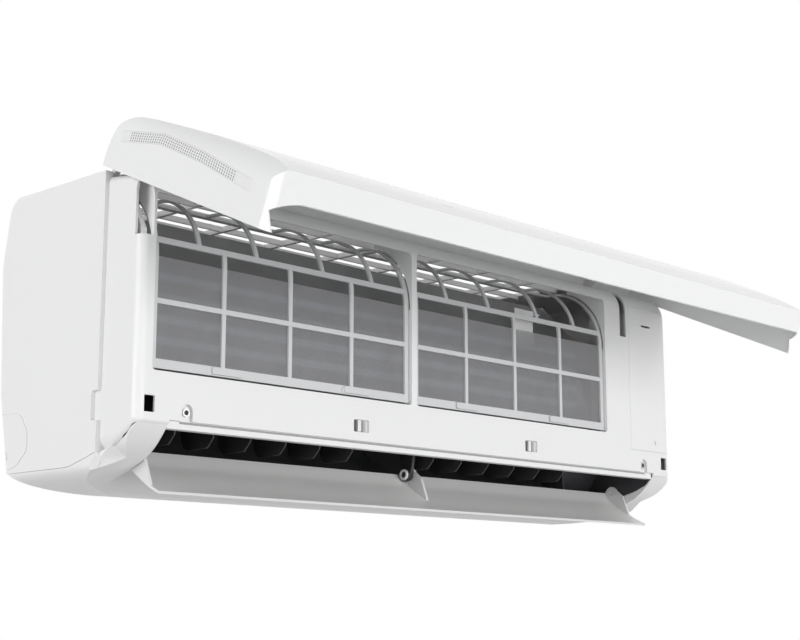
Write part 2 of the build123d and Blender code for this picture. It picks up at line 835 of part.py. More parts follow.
with BuildPart() as rear_chassis:
    # back wall
    with BuildSketch(across(-chassis_half)):
        with BuildLine():
            Polyline(
                wall_line[0],
                (wall_line[0][0] - duct_skin, wall_line[0][1]),
                (wall_line[1][0] - duct_skin, wall_line[1][1]),
                wall_line[1],
                close=True,
            )
        make_face()
    extrude(amount=2 * chassis_half)
    # scroll of the air duct
    with BuildSketch(across(-end_wall_x)):
        with BuildLine():
            Spline(*scroll_points)
        trace(line_width=duct_skin)
    extrude(amount=2 * end_wall_x)
    # ribs that hold the scroll off the back wall
    for rib_x in (-300, -150, 0, 150):
        with BuildSketch(across(rib_x)):
            with BuildLine():
                Polyline(*rib_outline, close=True)
            make_face()
        extrude(amount=2)
    # end walls and the partition beside the motor
    for left in (-end_wall_x - end_wall_skin, end_wall_x):
        with BuildSketch(across(left)):
            with BuildLine():
                Polyline(*end_wall_outline, close=True)
            make_face()
        extrude(amount=end_wall_skin)
    with BuildSketch(across(partition_x)):
        with BuildLine():
            Polyline(*partition_outline, close=True)
        make_face()
    extrude(amount=end_wall_skin)
    # slanted floor that closes the duct beside the partition
    with BuildSketch(across(partition_x)):
        with BuildLine():
            Polyline((-158, -74), (-155, -76), (-126, -118), (-130, -120), close=True)
        make_face()
    extrude(amount=end_wall_x - partition_x)
    # base plates outside the end walls
    for left in (-chassis_half, end_wall_x + 1):
        with BuildSketch(across(left)):
            with BuildLine():
                Polyline((-31, -139), (-140, -139), (-140, -136.5), (-31, -136.5), close=True)
            make_face()
        extrude(amount=chassis_half - end_wall_x - 1)
    # bearing seat, motor shaft and flap pin holes, windows for the wall plate's hooks
    with BuildSketch(across(-end_wall_x - end_wall_skin - 1)):
        with Locations(fan_centre):
            Circle(bearing_radius)
        with Locations(flap_pivot):
            Circle(flap_pin_radius)
    extrude(amount=end_wall_skin + 2, mode=Mode.SUBTRACT)
    with BuildSketch(across(partition_x - 1)):
        with Locations(fan_centre):
            Circle(shaft_radius + 4)
    extrude(amount=end_wall_skin + 2, mode=Mode.SUBTRACT)
    with BuildSketch(across(end_wall_x - 1)):
        with Locations(flap_pivot):
            Circle(flap_pin_radius + 1)
    extrude(amount=end_wall_skin + 2, mode=Mode.SUBTRACT)
    with BuildSketch(facing(0)):
        for hook_x in hook_xs:
            with Locations((hook_x, hook_height - 0.5)):
                Rectangle(2 * hook_half + 4, 10, align=(Align.CENTER, Align.MIN))
    extrude(amount=20, mode=Mode.SUBTRACT)

finish(rear_chassis.part, "rear_chassis")


# ---------------------------------------------------------------- wall plate
wall_hole_x = 560.0
wall_hole_z = 140.0
wall_hole_radius = 2.6
wall_plate_width = 660.0
wall_plate_height = 200.0

with BuildPart() as wall_plate:
    with BuildSketch(facing(0)):
        RectangleRounded(wall_plate_width, wall_plate_height, 8)
        with GridLocations(wall_hole_x, wall_hole_z, 2, 2):
            Circle(wall_hole_radius, mode=Mode.SUBTRACT)
        with GridLocations(180, 0, 3, 1):
            RectangleRounded(120, 90, 10, mode=Mode.SUBTRACT)
    extrude(amount=plate_skin)
    # stiffening rims along the top and the foot
    for height in (wall_plate_height / 2 - plate_skin, -wall_plate_height / 2):
        with BuildSketch(Plane.XY.offset(height)):
            with Locations((0, -plate_skin)):
                Rectangle(wall_plate_width - 24, 3.4, align=(Align.CENTER, Align.MAX))
        extrude(amount=plate_skin)
    # hooks reach through the chassis and turn up behind its back wall
    for hook_x in hook_xs:
        with BuildSketch(across(hook_x - hook_half)):
            with BuildLine():
                Polyline(
                    (-plate_skin / 2, hook_height + plate_skin),
                    (-plate_skin / 2, hook_height),
                    (-16, hook_height),
                    (-16, hook_height + 8),
                    (-16 + plate_skin, hook_height + 8),
                    (-16 + plate_skin, hook_height + plate_skin),
                    close=True,
                )
            make_face()
        extrude(amount=2 * hook_half)

finish(wall_plate.part, "wall_plate")


# ---------------------------------------------------------------- belly
belly_top = casing_foot - fit_gap
belly_skin = 2.5
belly_centre_x = 330.0
belly_reach = 97.0
belly_depth = 23.0


cap_tip = 183.0  # how far from the wall the belly reaches beside the outlet
cap_inner_x = outlet_half + 0.3
cap_outer_x = waist - fit_gap
# underside beside the outlet, from the wall to the front
end_section = [
    (-27, belly_top + 1),
    (-60, -157),
    (-105, -162.3),
    (-140, -154),
    (-165, -147),
    (-182, -141.5),
    (-196, -136),
    (-209, -129.3),
    (-222, -118.5),
    (-230.5, -109),
    (-234.5, -103.4),
]
# plan view of the line where a cap meets the belly
cap_split = [
    (384.5, -182.5),
    (392, -175.5),
    (403, -163.5),
    (411, -156.5),
    (416.5, -157),
    (419.5, -164),
    (421, -cheek_start),
]
cap_middle = (400, -cheek_start)  # the line is moved outward from here to leave a gap
# front view of a cap's outer end
cap_end = [
    (422.7, -96),
    (422.7, -112),
    (420.6, -121),
    (416, -127),
    (410, -131.5),
    (404, -136),
    (398, -142),
    (390, -150),
    (384, -170),
]
lip_back = -199.0  # behind the closed panel's lip the underside widens again
widened_back = -150.0


def cap_region(side, gap):
    """Plan-view area that belongs to the outlet cap of a side, -1 or 1, grown by a gap."""
    line = []
    for x, y in cap_split:
        growth = 1 + gap / hypot(x - cap_middle[0], y - cap_middle[1])
        line.append(
            (
                side * (cap_middle[0] + growth * (x - cap_middle[0])),
                cap_middle[1] + growth * (y - cap_middle[1]),
            )
        )
    with BuildPart() as region:
        with BuildSketch(Plane.XY.offset(-170)):
            with BuildLine():
                Spline(*line)
                Polyline(
                    line[-1],
                    (side * half_width, gap - cheek_start),
                    (side * half_width, -240),
                    (line[0][0], -240),
                    line[0],
                )
            make_face()
        extrude(amount=80)
    return region.part


def end_room(inset):
    """Front view of the underside's rounded ends, straight beside the closed panel's lip and
    widening from there to the wall."""
    with BuildPart() as room:
        for side in (-1, 1):
            line = [(side * (x - inset), z + inset) for x, z in cap_end]
            for start, end, widening in ((front_y - 1, lip_back, 0), (lip_back, widened_back, 1)):
                with BuildSketch(facing(start)):
                    with BuildLine():
                        Spline(*line)
                        Polyline(
                            line[-1], (-side * 200, line[-1][1]), (-side * 200, line[0][1]), line[0]
                        )
                    make_face()
                extrude(amount=(end - start) * hypot(1, widening), dir=(side * widening, 1, 0))
        with BuildSketch(facing(0)):
            with Locations((0, cap_end[0][1] + inset)):
                Rectangle(2 * unit_width, 80, align=(Align.CENTER, Align.MAX))
        extrude(amount=-widened_back)
    return room.part


def belly_solid(inset, reach):
    """Rounded underside: its side view met by its front view with elliptic ends. Beside the
    outlet it runs on forward, up to its reach from the wall."""
    section = [
        (-27 - inset, belly_top + 1),
        (-60, -157 + inset),
        (-105, -162.3 + inset),
        (-140, -154 + inset),
        (-162 + inset, -139.5),
    ]
    raised = [(end_section[0][0] - inset, end_section[0][1])]
    raised += [(y, z + inset) for y, z in end_section[1:]]
    end_x = belly_centre_x + belly_reach - inset
    with BuildPart() as solid:
        with BuildSketch(across(-half_width)):
            with BuildLine():
                Spline(*section)
                Line(section[-1], section[0])
            make_face()
        extrude(amount=unit_width)
        for left in (-half_width, cap_inner_x + inset):
            with BuildSketch(across(left)):
                with BuildLine():
                    Spline(*raised)
                    Line(raised[-1], raised[0])
                make_face()
            extrude(amount=half_width - cap_inner_x - inset)
        with BuildSketch(facing(0)):
            with Locations((0, belly_top + 1)):
                Rectangle(2 * belly_centre_x, 60, align=(Align.CENTER, Align.MAX))
                Rectangle(2 * end_x, 40, align=(Align.CENTER, Align.MIN))
            with Locations((-belly_centre_x, belly_top + 1), (belly_centre_x, belly_top + 1)):
                Ellipse(end_x - belly_centre_x, belly_depth - inset)
        extrude(amount=reach, mode=Mode.INTERSECT)
        add(end_room(inset), mode=Mode.INTERSECT)
    return solid.part


with BuildPart() as bottom_cover:
    add(belly_solid(0, cap_tip))
    add(belly_solid(belly_skin, cheek_start - belly_skin), mode=Mode.SUBTRACT)
    # flush with the casing's foot, which rises beside the outlet
    with BuildSketch(Plane.XY.offset(belly_top)):
        Rectangle(2 * cap_inner_x, 2 * unit_width)
    extrude(amount=20, mode=Mode.SUBTRACT)
    add(above_foot(fit_gap), mode=Mode.SUBTRACT)
    for side in (-1, 1):
        add(cap_region(side, fit_gap), mode=Mode.SUBTRACT)

finish(bottom_cover.part, "bottom_cover")


# ---------------------------------------------------------------- outlet end caps
for side, sign in (("left", -1), ("right", 1)):
    with BuildPart() as outlet_cap:
        add(belly_solid(0, casing_depth))
        with BuildSketch(Plane.XY.offset(-170)):
            with BuildLine():
                FilletPolyline(
                    (0, 0),
                    (sign * cap_outer_x, 0),
                    (sign * cap_outer_x, front_y),
                    (0, front_y),
                    radius=[0, 0, corner_radius + 0.6, 0],
                    close=True,
                )
            make_face()
        extrude(amount=80, mode=Mode.INTERSECT)
        add(above_foot(fit_gap), mode=Mode.SUBTRACT)
        add(cap_region(sign, 0), mode=Mode.INTERSECT)
    finish(outlet_cap.part, f"outlet_cap_{side}")


# ---------------------------------------------------------------- drain pan
pan_half = outlet_half - 1
pan_floor = -68.0
pan_rim = -57.0
pan_end_rim = -54.0
pan_front = bar_front + 2.4 + fit_gap
pan_wall = 2.8
pan_slope = 0.62  # fall of the underside toward the front
pan_back = -163.0
pan_underside = -70.0


def pan_under(y):
    """Height of the pan's underside."""
    return pan_underside - pan_slope * (pan_back - y)


pan_section = [
    (pan_front, pan_rim),
    (pan_front + pan_wall, pan_rim),
    (pan_front + pan_wall, pan_floor),
    (-172, pan_floor),
    (-166, -58),
    (-160, -56),
    (-160, -62),
    (pan_back, pan_underside),
    (bar_front + outlet_bar_depth, pan_under(bar_front + outlet_bar_depth)),
    (bar_front + outlet_bar_depth, bar_foot + 2.2 + fit_gap),
    (pan_front, bar_foot + 2.2 + fit_gap),
]
pan_end = [
    (pan_front, pan_rim),
    (-222, pan_end_rim),
    (-166, pan_end_rim),
    (-160, -56),
    (-160, -62),
    (pan_back, pan_underside),
    (bar_front + outlet_bar_depth, pan_under(bar_front + outlet_bar_depth)),
    (pan_front, bar_foot + 2.2 + fit_gap),
]
spout = (-212.0, -60.0)
spout_radius = 5.5
spout_bore = 3.5
spout_reach = 14.0

vane_group_left = [-347.0 + 47 * step for step in range(6)]
vane_group_right = [15.0 + 47 * step for step in range(6)]
stepper_xs = {"left": -366.5, "right": -42.0}
vane_axis_y = -172.0
vane_pin_radius = 2.0
vane_pin_top = -70.0
vane_skin = 1.6
vane_peg_radius = 1.2
vane_peg_offset = 22.0
screw_shank_radius = 2.0
screw_xs = (-boss_x, boss_x)

with BuildPart() as drain_pan:
    with BuildSketch(across(-pan_half)):
        with BuildLine():
            Polyline(*pan_section, close=True)
        make_face()
    extrude(amount=2 * pan_half)
    for left in (-pan_half, pan_half - pan_wall):
        with BuildSketch(across(left)):
            with BuildLine():
                Polyline(*pan_end, close=True)
            make_face()
        extrude(amount=pan_wall)
    # drain spout at the left end
    with BuildSketch(across(-pan_half)):
        with Locations(spout):
            Circle(spout_radius)
    extrude(amount=-spout_reach)
    with BuildSketch(across(-pan_half - spout_reach)):
        with Locations(spout):
            Circle(spout_bore)
    extrude(amount=spout_reach + pan_wall + 1, mode=Mode.SUBTRACT)
    # blind holes for the vanes' pins
    with BuildSketch(Plane.XY.offset(vane_pin_top + 0.3)):
        with Locations(*[(x, vane_axis_y) for x in vane_group_left + vane_group_right]):
            Circle(vane_pin_radius + turning_gap)
    extrude(amount=-20, mode=Mode.SUBTRACT)
    # holes for the two front screws
    with BuildSketch(facing(pan_front - 1)):
        with Locations(*[(x, boss_height) for x in screw_xs]):
            Circle(screw_shank_radius)
    extrude(amount=-13, mode=Mode.SUBTRACT)

finish(drain_pan.part, "drain_pan")


# ---------------------------------------------------------------- fan, bearing and motor
blade_inner = 35.0
blade_lean = 24.0  # degrees a blade leans from root to tip
shaft_left = -391.0
shaft_right = 328.0
motor_bore_end = 330.0
bearing_left = -390.0
bearing_right = -383.0

blade_profile = []
for share, edge in ((0.0, -1), (0.5, -1), (1.0, -1), (1.0, 1), (0.5, 1), (0.0, 1)):
    reach_at = blade_inner + (fan_radius - blade_inner) * share
    bow = radians(blade_lean) * share * share
    blade_profile.append(
        (
            reach_at * cos(bow) - edge * fan_blade_skin / 2 * sin(bow),
            reach_at * sin(bow) + edge * fan_blade_skin / 2 * cos(bow),
        )
    )

with BuildPart() as fan_wheel:
    # blades from end to end
    with BuildSketch(across(fan_left, pivot=fan_centre)):
        with PolarLocations(0, fan_blades):
            with BuildLine():
                Polyline(*blade_profile, close=True)
            make_face()
    extrude(amount=fan_right - fan_left)
    # rings between the sections; solid discs at both ends
    pitch = (fan_right - fan_left - fan_disc_skin) / fan_sections
    for section in range(fan_sections + 1):
        with BuildSketch(across(fan_left + section * pitch, pivot=fan_centre)):
            Circle(fan_radius)
            if section in (0, fan_sections):
                Circle(shaft_radius, mode=Mode.SUBTRACT)
            else:
                Circle(blade_inner - 3, mode=Mode.SUBTRACT)
        extrude(amount=fan_disc_skin)

finish(fan_wheel.part, "fan_wheel")

with BuildPart() as fan_shaft:
    with BuildSketch(across(shaft_left)):
        with Locations(fan_centre):
            Circle(shaft_radius)
    extrude(amount=shaft_right - shaft_left)

finish(fan_shaft.part, "fan_shaft")

with BuildPart() as fan_bearing:
    with BuildSketch(across(bearing_left)):
        with Locations(fan_centre):
            Circle(bearing_radius)
            Circle(shaft_radius + turning_gap, mode=Mode.SUBTRACT)
    extrude(amount=bearing_right - bearing_left)

finish(fan_bearing.part, "fan_bearing")

with BuildPart() as fan_motor:
    with BuildSketch(across(motor_left)):
        with Locations(fan_centre):
            Circle(motor_radius)
    extrude(amount=motor_right - motor_left)
    fillet(fan_motor.edges().filter_by(GeomType.CIRCLE), 6)
    with BuildSketch(across(motor_right)):
        with Locations(fan_centre):
            Circle(12)
    extrude(amount=6)
    with BuildSketch(across(motor_left - 1)):
        with Locations(fan_centre):
            Circle(shaft_radius + turning_gap)
    extrude(amount=motor_bore_end - motor_left + 1, mode=Mode.SUBTRACT)

finish(fan_motor.part, "fan_motor")

clamp_skin = 1.6
clamp_left = 320.0
clamp_width = 22.0

with BuildPart() as motor_clamp:
    with BuildSketch(across(clamp_left)):
        with Locations(fan_centre):
            Circle(motor_radius + clamp_skin)
            Circle(motor_radius, mode=Mode.SUBTRACT)
        # foot down to the duct's wall
        with Locations((fan_centre[0] + motor_radius + 0.6, fan_height)):
            Rectangle(15, 12, align=(Align.MIN, Align.CENTER))
    extrude(amount=clamp_width)

finish(motor_clamp.part, "motor_clamp")


# ---------------------------------------------------------------- upright vanes
vane_outline = [
    (-196, -93),
    (-160, -74.5),
    (-146, -76),
    (-140, -96),
    (-146, -117),
    (-184, -117),
    (-193, -108),
]
link_foot = -73.0
link_skin = 2.0
link_front = -156.5
link_back = -146.5
peg_head_radius = 2.2
link_side_gap = 0.35
link_end_reach = 6.0
swing = 30.0  # degrees to each side


def vane(x):
    """One upright vane with the pin it turns on and the peg its link bar drives."""
    with BuildPart() as blade:
        with BuildSketch(across(x - vane_skin / 2)):
            with BuildLine():
                FilletPolyline(*vane_outline, radius=[1, 2, 3, 8, 10, 6, 3], close=True)
            make_face()
        extrude(amount=vane_skin)
        with BuildSketch(Plane.XY.offset(-92)):
            with Locations((x, vane_axis_y)):
                Circle(vane_pin_radius)
        extrude(amount=vane_pin_top + 92)
        with BuildSketch(Plane.XY.offset(-84)):
            with Locations((x, vane_axis_y + vane_peg_offset)):
                Circle(vane_peg_radius)
        extrude(amount=84 + link_foot + link_skin + fit_gap)
        with BuildSketch(Plane.XY.offset(link_foot + link_skin + fit_gap)):
            with Locations((x, vane_axis_y + vane_peg_offset)):
                Circle(peg_head_radius)
        extrude(amount=0.8)
    return blade.part


vane_number = 0
for group in (vane_group_left, vane_group_right):
    for x in group:
        vane_number += 1
        finish(vane(x), f"vane_{vane_number:02d}")

peg_y = vane_axis_y + vane_peg_offset
peg_retreat = vane_peg_offset * (1 - cos(radians(swing)))
slot_y = peg_y - peg_retreat / 2
slot_length = peg_retreat + 2 * (vane_peg_radius + link_side_gap) + 0.5
crank_skin = 2.0
crank_top = -78.2
stepper_top = crank_top - crank_skin - 2
stepper_radius = 9.0
stepper_height = 15.0
bracket_y = vane_axis_y - stepper_radius + 1

for side, group in (("left", vane_group_left), ("right", vane_group_right)):
    driven = [stepper_xs[side]] + group
    with BuildPart() as vane_link:
        with BuildSketch(Plane.XY.offset(link_foot)):
            with Locations(((driven[0] + driven[-1]) / 2, (link_front + link_back) / 2)):
                RectangleRounded(driven[-1] - driven[0] + 2 * link_end_reach, link_back - link_front, 2)
            for x in driven:
                with Locations((x, slot_y)):
                    SlotOverall(
                        slot_length, 2 * (vane_peg_radius + link_side_gap), 90, mode=Mode.SUBTRACT
                    )
        extrude(amount=link_skin)
    finish(vane_link.part, f"vane_link_{side}")

    # crank that a small motor turns in step with the vanes
    with BuildPart() as vane_crank:
        with BuildSketch(Plane.XY.offset(crank_top)):
            with Locations((stepper_xs[side], (vane_axis_y + peg_y) / 2)):
                SlotOverall(vane_peg_offset + 7, 7, 90)
        extrude(amount=-crank_skin)
        with BuildSketch(Plane.XY.offset(crank_top - crank_skin)):
            with Locations((stepper_xs[side], peg_y)):
                Circle(vane_peg_radius)
        extrude(amount=link_foot + link_skin + fit_gap - crank_top + crank_skin)
        with BuildSketch(Plane.XY.offset(link_foot + link_skin + fit_gap)):
            with Locations((stepper_xs[side], peg_y)):
                Circle(peg_head_radius)
        extrude(amount=0.8)
        with BuildSketch(Plane.XY.offset(crank_top)):
            with Locations((stepper_xs[side], vane_axis_y)):
                Circle(1.5 + turning_gap)
        extrude(amount=-crank_skin, mode=Mode.SUBTRACT)
    finish(vane_crank.part, f"vane_crank_{side}")

# small motors with their brackets up to the pan
with BuildPart() as vane_motors:
    for stepper_x in stepper_xs.values():
        with BuildSketch(Plane.XY.offset(stepper_top)):
            with Locations((stepper_x, vane_axis_y)):
                Circle(stepper_radius)
        extrude(amount=-stepper_height)
        with BuildSketch(Plane.XY.offset(stepper_top)):
            with Locations((stepper_x, vane_axis_y)):
                Circle(1.5)
        extrude(amount=crank_skin + 2.8)
        # plate in front of the motor, up to the pan's underside
        with BuildSketch(across(stepper_x - 5)):
            with BuildLine():
                Polyline(
                    (bracket_y, stepper_top - 10),
                    (bracket_y, pan_under(bracket_y) - 0.8),
                    (bracket_y - 4, pan_under(bracket_y - 4)),
                    (bracket_y - 8, pan_under(bracket_y - 8)),
                    (bracket_y - 8, stepper_top - 10),
                    close=True,
                )
            make_face()
        extrude(amount=10)

finish(vane_motors.part, "vane_motors")


# ---------------------------------------------------------------- air flap
flap_line = [
    (-234.4, -109.4),
    (-225.3, -114.6),
    (-210.4, -121.4),
    (-197.4, -126.3),
    (-183.9, -131.2),
    (-172, -133.2),
    (-163, -132.8),
]
flap_boss = 8.5
flap_arm = 3.0
# arms: where each stands and where its front edge runs, closed
flap_arms = (
    (-flap_half, (-222, -115.9), (-192.3, -108.5)),
    (0.0, (-212, -120.8), (-184.2, -112.6)),
    (flap_half - flap_arm, (-212, -120.8), (-184.2, -112.6)),
)


def flap_plane(x):
    """Section plane of the flap as shown, hanging open."""
    return across(x, pivot=flap_pivot, turn=flap_open_angle)


with BuildPart() as flap:
    with BuildSketch(flap_plane(-flap_half)):
        with BuildLine():
            Spline(*[closed_flap(point) for point in flap_line])
        trace(line_width=flap_skin)
    extrude(amount=2 * flap_half)
    for arm_x, arm_foot, arm_head in flap_arms:
        web = [(-161.8, -126.5), (-163.5, -132.8), *flap_line[-2:2:-1], (-210.4, -121.4), arm_foot]
        web += [arm_head, (-172, -115.8)]
        with BuildSketch(flap_plane(arm_x)):
            with BuildLine():
                Polyline(*[closed_flap(point) for point in web], close=True)
            make_face()
            Circle(flap_boss)
            Circle(flap_pin_radius + turning_gap, mode=Mode.SUBTRACT)
        extrude(amount=flap_arm)

finish(flap.part, "air_flap")

with BuildPart() as flap_bush_left:
    with BuildSketch(across(-end_wall_x - end_wall_skin)):
        with Locations(flap_pivot):
            Circle(flap_pin_radius)
    extrude(amount=end_wall_x + end_wall_skin - flap_half + flap_arm + 0.6)
    with BuildSketch(across(-end_wall_x)):
        with Locations(flap_pivot):
            Circle(flap_pin_radius + 2)
    extrude(amount=end_wall_x - flap_half - 0.3)

finish(flap_bush_left.part, "flap_bush_left")

centre_bracket_x = -5.0
centre_bracket_skin = 4.0
centre_bracket_boss = 6.5

with BuildPart() as centre_bracket:
    with BuildSketch(across(centre_bracket_x)):
        with BuildLine():
            Polyline(
                (-184, pan_under(-184)),
                (-166, pan_under(-166)),
                (-163.5, flap_pivot_height),
                (-176.5, flap_pivot_height),
                close=True,
            )
        make_face()
        with Locations(flap_pivot):
            Circle(centre_bracket_boss)
            Circle(flap_pin_radius, mode=Mode.SUBTRACT)
    extrude(amount=centre_bracket_skin)

finish(centre_bracket.part, "flap_centre_bracket")

with BuildPart() as centre_bush:
    with BuildSketch(across(centre_bracket_x - 3)):
        with Locations(flap_pivot):
            Circle(flap_pin_radius + 2)
    extrude(amount=3)
    with BuildSketch(across(centre_bracket_x - 3)):
        with Locations(flap_pivot):
            Circle(flap_pin_radius)
    extrude(amount=3 - centre_bracket_x + flap_arm + 0.4)

finish(centre_bush.part, "flap_centre_bush")

flap_motor_length = 20.0
flap_motor_radius = 10.0

with BuildPart() as flap_motor:
    with BuildSketch(across(end_wall_x + end_wall_skin)):
        with Locations((flap_pivot[0] + 8, flap_pivot_height)):
            Circle(flap_motor_radius)
    extrude(amount=flap_motor_length)
    with BuildSketch(across(flap_half - flap_arm + 1)):
        with Locations(flap_pivot):
            Circle(flap_pin_radius)
    extrude(amount=end_wall_x + end_wall_skin - flap_half + flap_arm - 1)

finish(flap_motor.part, "flap_motor")


# ---------------------------------------------------------------- front panel
panel_outline = [
    (-182, 141),
    (-205, 139.3),
    (-219, 134.5),
    (-229.5, 127),
    (-235.5, 117),
    (-238.8, 102),
    (-241.5, 60),
    (-244, 0),
    (-243.7, -50),
    (-241, -100),
]
panel_fold = (-236.5, -124.5)
lip_rear = (-211.5, -135.8)
cheek_foot = [(-199, -118), (-182, -125)]
panel_lean = radians(-panel_open_angle)


def panel_section(x):
    """Section plane of the panel as shown, swung up."""
    return across(x, pivot=hinge, turn=-panel_open_angle)


def panel_facing(setback):
    """Plane parallel to the raised panel's face; its own y runs up the closed panel."""
    inward = Vector(0, cos(panel_lean), sin(panel_lean))
    origin = Vector(0, *hinge) + inward * (setback - hinge[0])
    return Plane(origin=origin, x_dir=(1, 0, 0), z_dir=-inward)


def panel_top_plane(height):
    """Plane square to the raised panel's face and to its ends."""
    up = Vector(0, -sin(panel_lean), cos(panel_lean))
    origin = Vector(0, *hinge) + up * (height - hinge[1])
    return Plane(origin=origin, x_dir=(1, 0, 0), z_dir=up)


def shrunk(points, amount):
    """Points of an open outline moved toward the inside of the panel by amount."""
    moved = []
    for index, point in enumerate(points):
        before = points[max(index - 1, 0)]
        after = points[min(index + 1, len(points) - 1)]
        run = sqrt((after[0] - before[0]) ** 2 + (after[1] - before[1]) ** 2)
        moved.append(
            (
                point[0] - (after[1] - before[1]) / run * amount,
                point[1] + (after[0] - before[0]) / run * amount,
            )
        )
    return moved


def panel_solid(inset):
    """Space inside the panel's outer skin, less an inset: side view met by front and plan views."""
    outer = shrunk(panel_outline + [panel_fold], inset)
    fold = outer[-1]
    rear = (lip_rear[0] + inset * 0.41, lip_rear[1] + inset * 0.91)
    if inset:
        ends = [rear, (-200, -160), (-150, -160), (-150, 150), (-170, outer[0][1])]
    else:
        ends = [rear, *cheek_foot]
    half = half_width - inset
    with BuildPart() as solid:
        with BuildSketch(panel_section(-half_width)):
            with BuildLine():
                Spline(*[closed_panel(point) for point in outer])
                Polyline(*[closed_panel(point) for point in (fold, *ends, outer[0])])
            make_face()
        extrude(amount=unit_width)
        corner = panel_bottom_corner - inset
        foot = lip_rear[1] + inset * 0.4 - hinge[1]
        with BuildSketch(panel_facing(-300)):
            with BuildLine():
                FilletPolyline(
                    (-half, foot),
                    (half, foot),
                    (half, 40),
                    (-half, 40),
                    radius=[corner, corner, 0, 0],
                    close=True,
                )
            make_face()
        extrude(amount=-200, mode=Mode.INTERSECT)
        with BuildSketch(panel_top_plane(-220)):
            with BuildLine():
                FilletPolyline(
                    (-half, -244.3 + inset - hinge[0]),
                    (half, -244.3 + inset - hinge[0]),
                    (half, 60),
                    (-half, 60),
                    radius=[panel_corner - inset, panel_corner - inset, 0, 0],
                    close=True,
                )
            make_face()
        extrude(amount=400, mode=Mode.INTERSECT)
    return solid.part


panel_bottom_corner = 28.0
trim_line = [(-209.5, 122), (-219.8, 57), (-217, -10), (-208, -90)]
trim_width = 11.0
trim_reach = 14.0  # from the panel's side toward its middle

panel_space = panel_solid(panel_skin)
panel_form = panel_solid(0)


def panel_shell():
    """The panel's skin before the trim strips and the sensor window are cut from it."""
    with BuildPart() as shell:
        add(panel_form)
        add(panel_space, mode=Mode.SUBTRACT)
    return shell.part


def trim_region(left):
    """Band of the panel's corner that carries a perforated strip."""
    front = [(point[0] - trim_width, point[1]) for point in reversed(trim_line)]
    with BuildPart() as region:
        with BuildSketch(panel_section(left)):
            with BuildLine():
                Polyline(*[closed_panel(point) for point in trim_line + front], close=True)
            make_face()
        extrude(amount=trim_reach)
    return region.part


shell_part = panel_shell()
trim_lefts = {"left": -half_width - 1, "right": half_width + 1 - trim_reach}

sensor_x = -196.0
sensor_height = -92.0
sensor_length = 15.0
sensor_width = 6.0

with BuildPart() as trim_bands:
    for left in trim_lefts.values():
        add(trim_region(left))

with BuildPart() as front_panel:
    add(shell_part)
    add(trim_bands.part, mode=Mode.SUBTRACT)
    with BuildSketch(panel_facing(-260)):
        with Locations((sensor_x, sensor_height - hinge[1])):
            SlotOverall(sensor_length, sensor_width)
    extrude(amount=-30, mode=Mode.SUBTRACT)

finish(front_panel.part, "front_panel")

with BuildPart() as panel_trims:
    add(shell_part)
    add(trim_bands.part, mode=Mode.INTERSECT)

finish(panel_trims.part, "panel_trims")

with BuildPart() as sensor_window:
    add(shell_part)
    with BuildSketch(panel_facing(-260)):
        with Locations((sensor_x, sensor_height - hinge[1])):
            SlotOverall(sensor_length, sensor_width)
    extrude(amount=-30, mode=Mode.INTERSECT)

finish(sensor_window.part, "sensor_window")

# hinge arms, cut to the panel's inner face
arm_outline = [
    (-170.5, 134.5),
    (-170.2, 138),
    (-176, 140.3),
    (-186, 138),
    (-204, 150),
    (-260, 150),
    (-260, 80),
    (-229, 78),
    (-214, 104),
    (-198, 122),
    (-178, 133),
]

for side, (left, right) in (("left", left_slot), ("right", right_slot)):
    arm_width = 6.0
    arm_left = (left + right - arm_width) / 2
    with BuildPart() as hinge_arm:
        with BuildSketch(panel_section(arm_left)):
            with BuildLine():
                Polyline(*[closed_panel(point) for point in arm_outline], close=True)
            make_face()
        extrude(amount=arm_width)
        add(panel_space, mode=Mode.INTERSECT)
        with BuildSketch(panel_section(arm_left)):
            Circle(3.4)
        extrude(amount=arm_width)
        with BuildSketch(panel_section(arm_left)):
            Circle(hinge_pin_radius + turning_gap)
        extrude(amount=arm_width, mode=Mode.SUBTRACT)
    finish(hinge_arm.part, f"hinge_arm_{side}")

with BuildPart() as hinge_pins:
    for left, right in hinge_slots:
        with BuildSketch(across(left - hinge_ear)):
            with Locations(hinge):
                Circle(hinge_pin_radius)
        extrude(amount=right - left + 2 * hinge_ear)

finish(hinge_pins.part, "hinge_pins")

latch_tip = -229.4
latch_shift = 7.9  # the inner latches pass left of the keepers' ribs
with BuildPart() as panel_latches:
    for latch_x, half in (
        (-clip_end, 3.6),
        (-clip_middle - latch_shift, 2.3),
        (clip_middle - latch_shift, 2.3),
        (clip_end, 3.6),
    ):
        with BuildSketch(panel_section(latch_x - half)):
            with BuildLine():
                Polyline(
                    *[
                        closed_panel(point)
                        for point in ((-250, -89), (-250, -84.5), (latch_tip, -85.5), (latch_tip, -88.5))
                    ],
                    close=True,
                )
            make_face()
        extrude(amount=2 * half)
    add(panel_space, mode=Mode.INTERSECT)

finish(panel_latches.part, "panel_latches")

keeper_skin = 1.5
with BuildPart() as latch_keepers:
    with BuildSketch(facing(front_y + skin)):
        for latch_x in (-clip_middle, clip_middle):
            with Locations((latch_x, clip_height)):
                Rectangle(clip_window_width + 8, clip_window_height + 6)
                Rectangle(clip_window_width - 1, clip_window_height - 1, mode=Mode.SUBTRACT)
    extrude(amount=-keeper_skin)
    # rib and ramp across each inner window
    with BuildSketch(Plane.XY.offset(clip_height - clip_window_height / 2 - 1.5)):
        for latch_x in (-clip_middle, clip_middle):
            with Locations((latch_x, 0)):
                Polygon(
                    (latch_slot_end, front_y + skin + 0.1),
                    (latch_slot_end, front_y + 6.4),
                    (12, front_y + 6.4),
                    (12, front_y + skin + 0.1),
                    (10.4, front_y + skin + 0.1),
                    (0.8, front_y + 5.0),
                    (0.8, front_y + skin + 0.1),
                    align=None,
                )
    extrude(amount=clip_window_height + 3)

finish(latch_keepers.part, "latch_keepers")


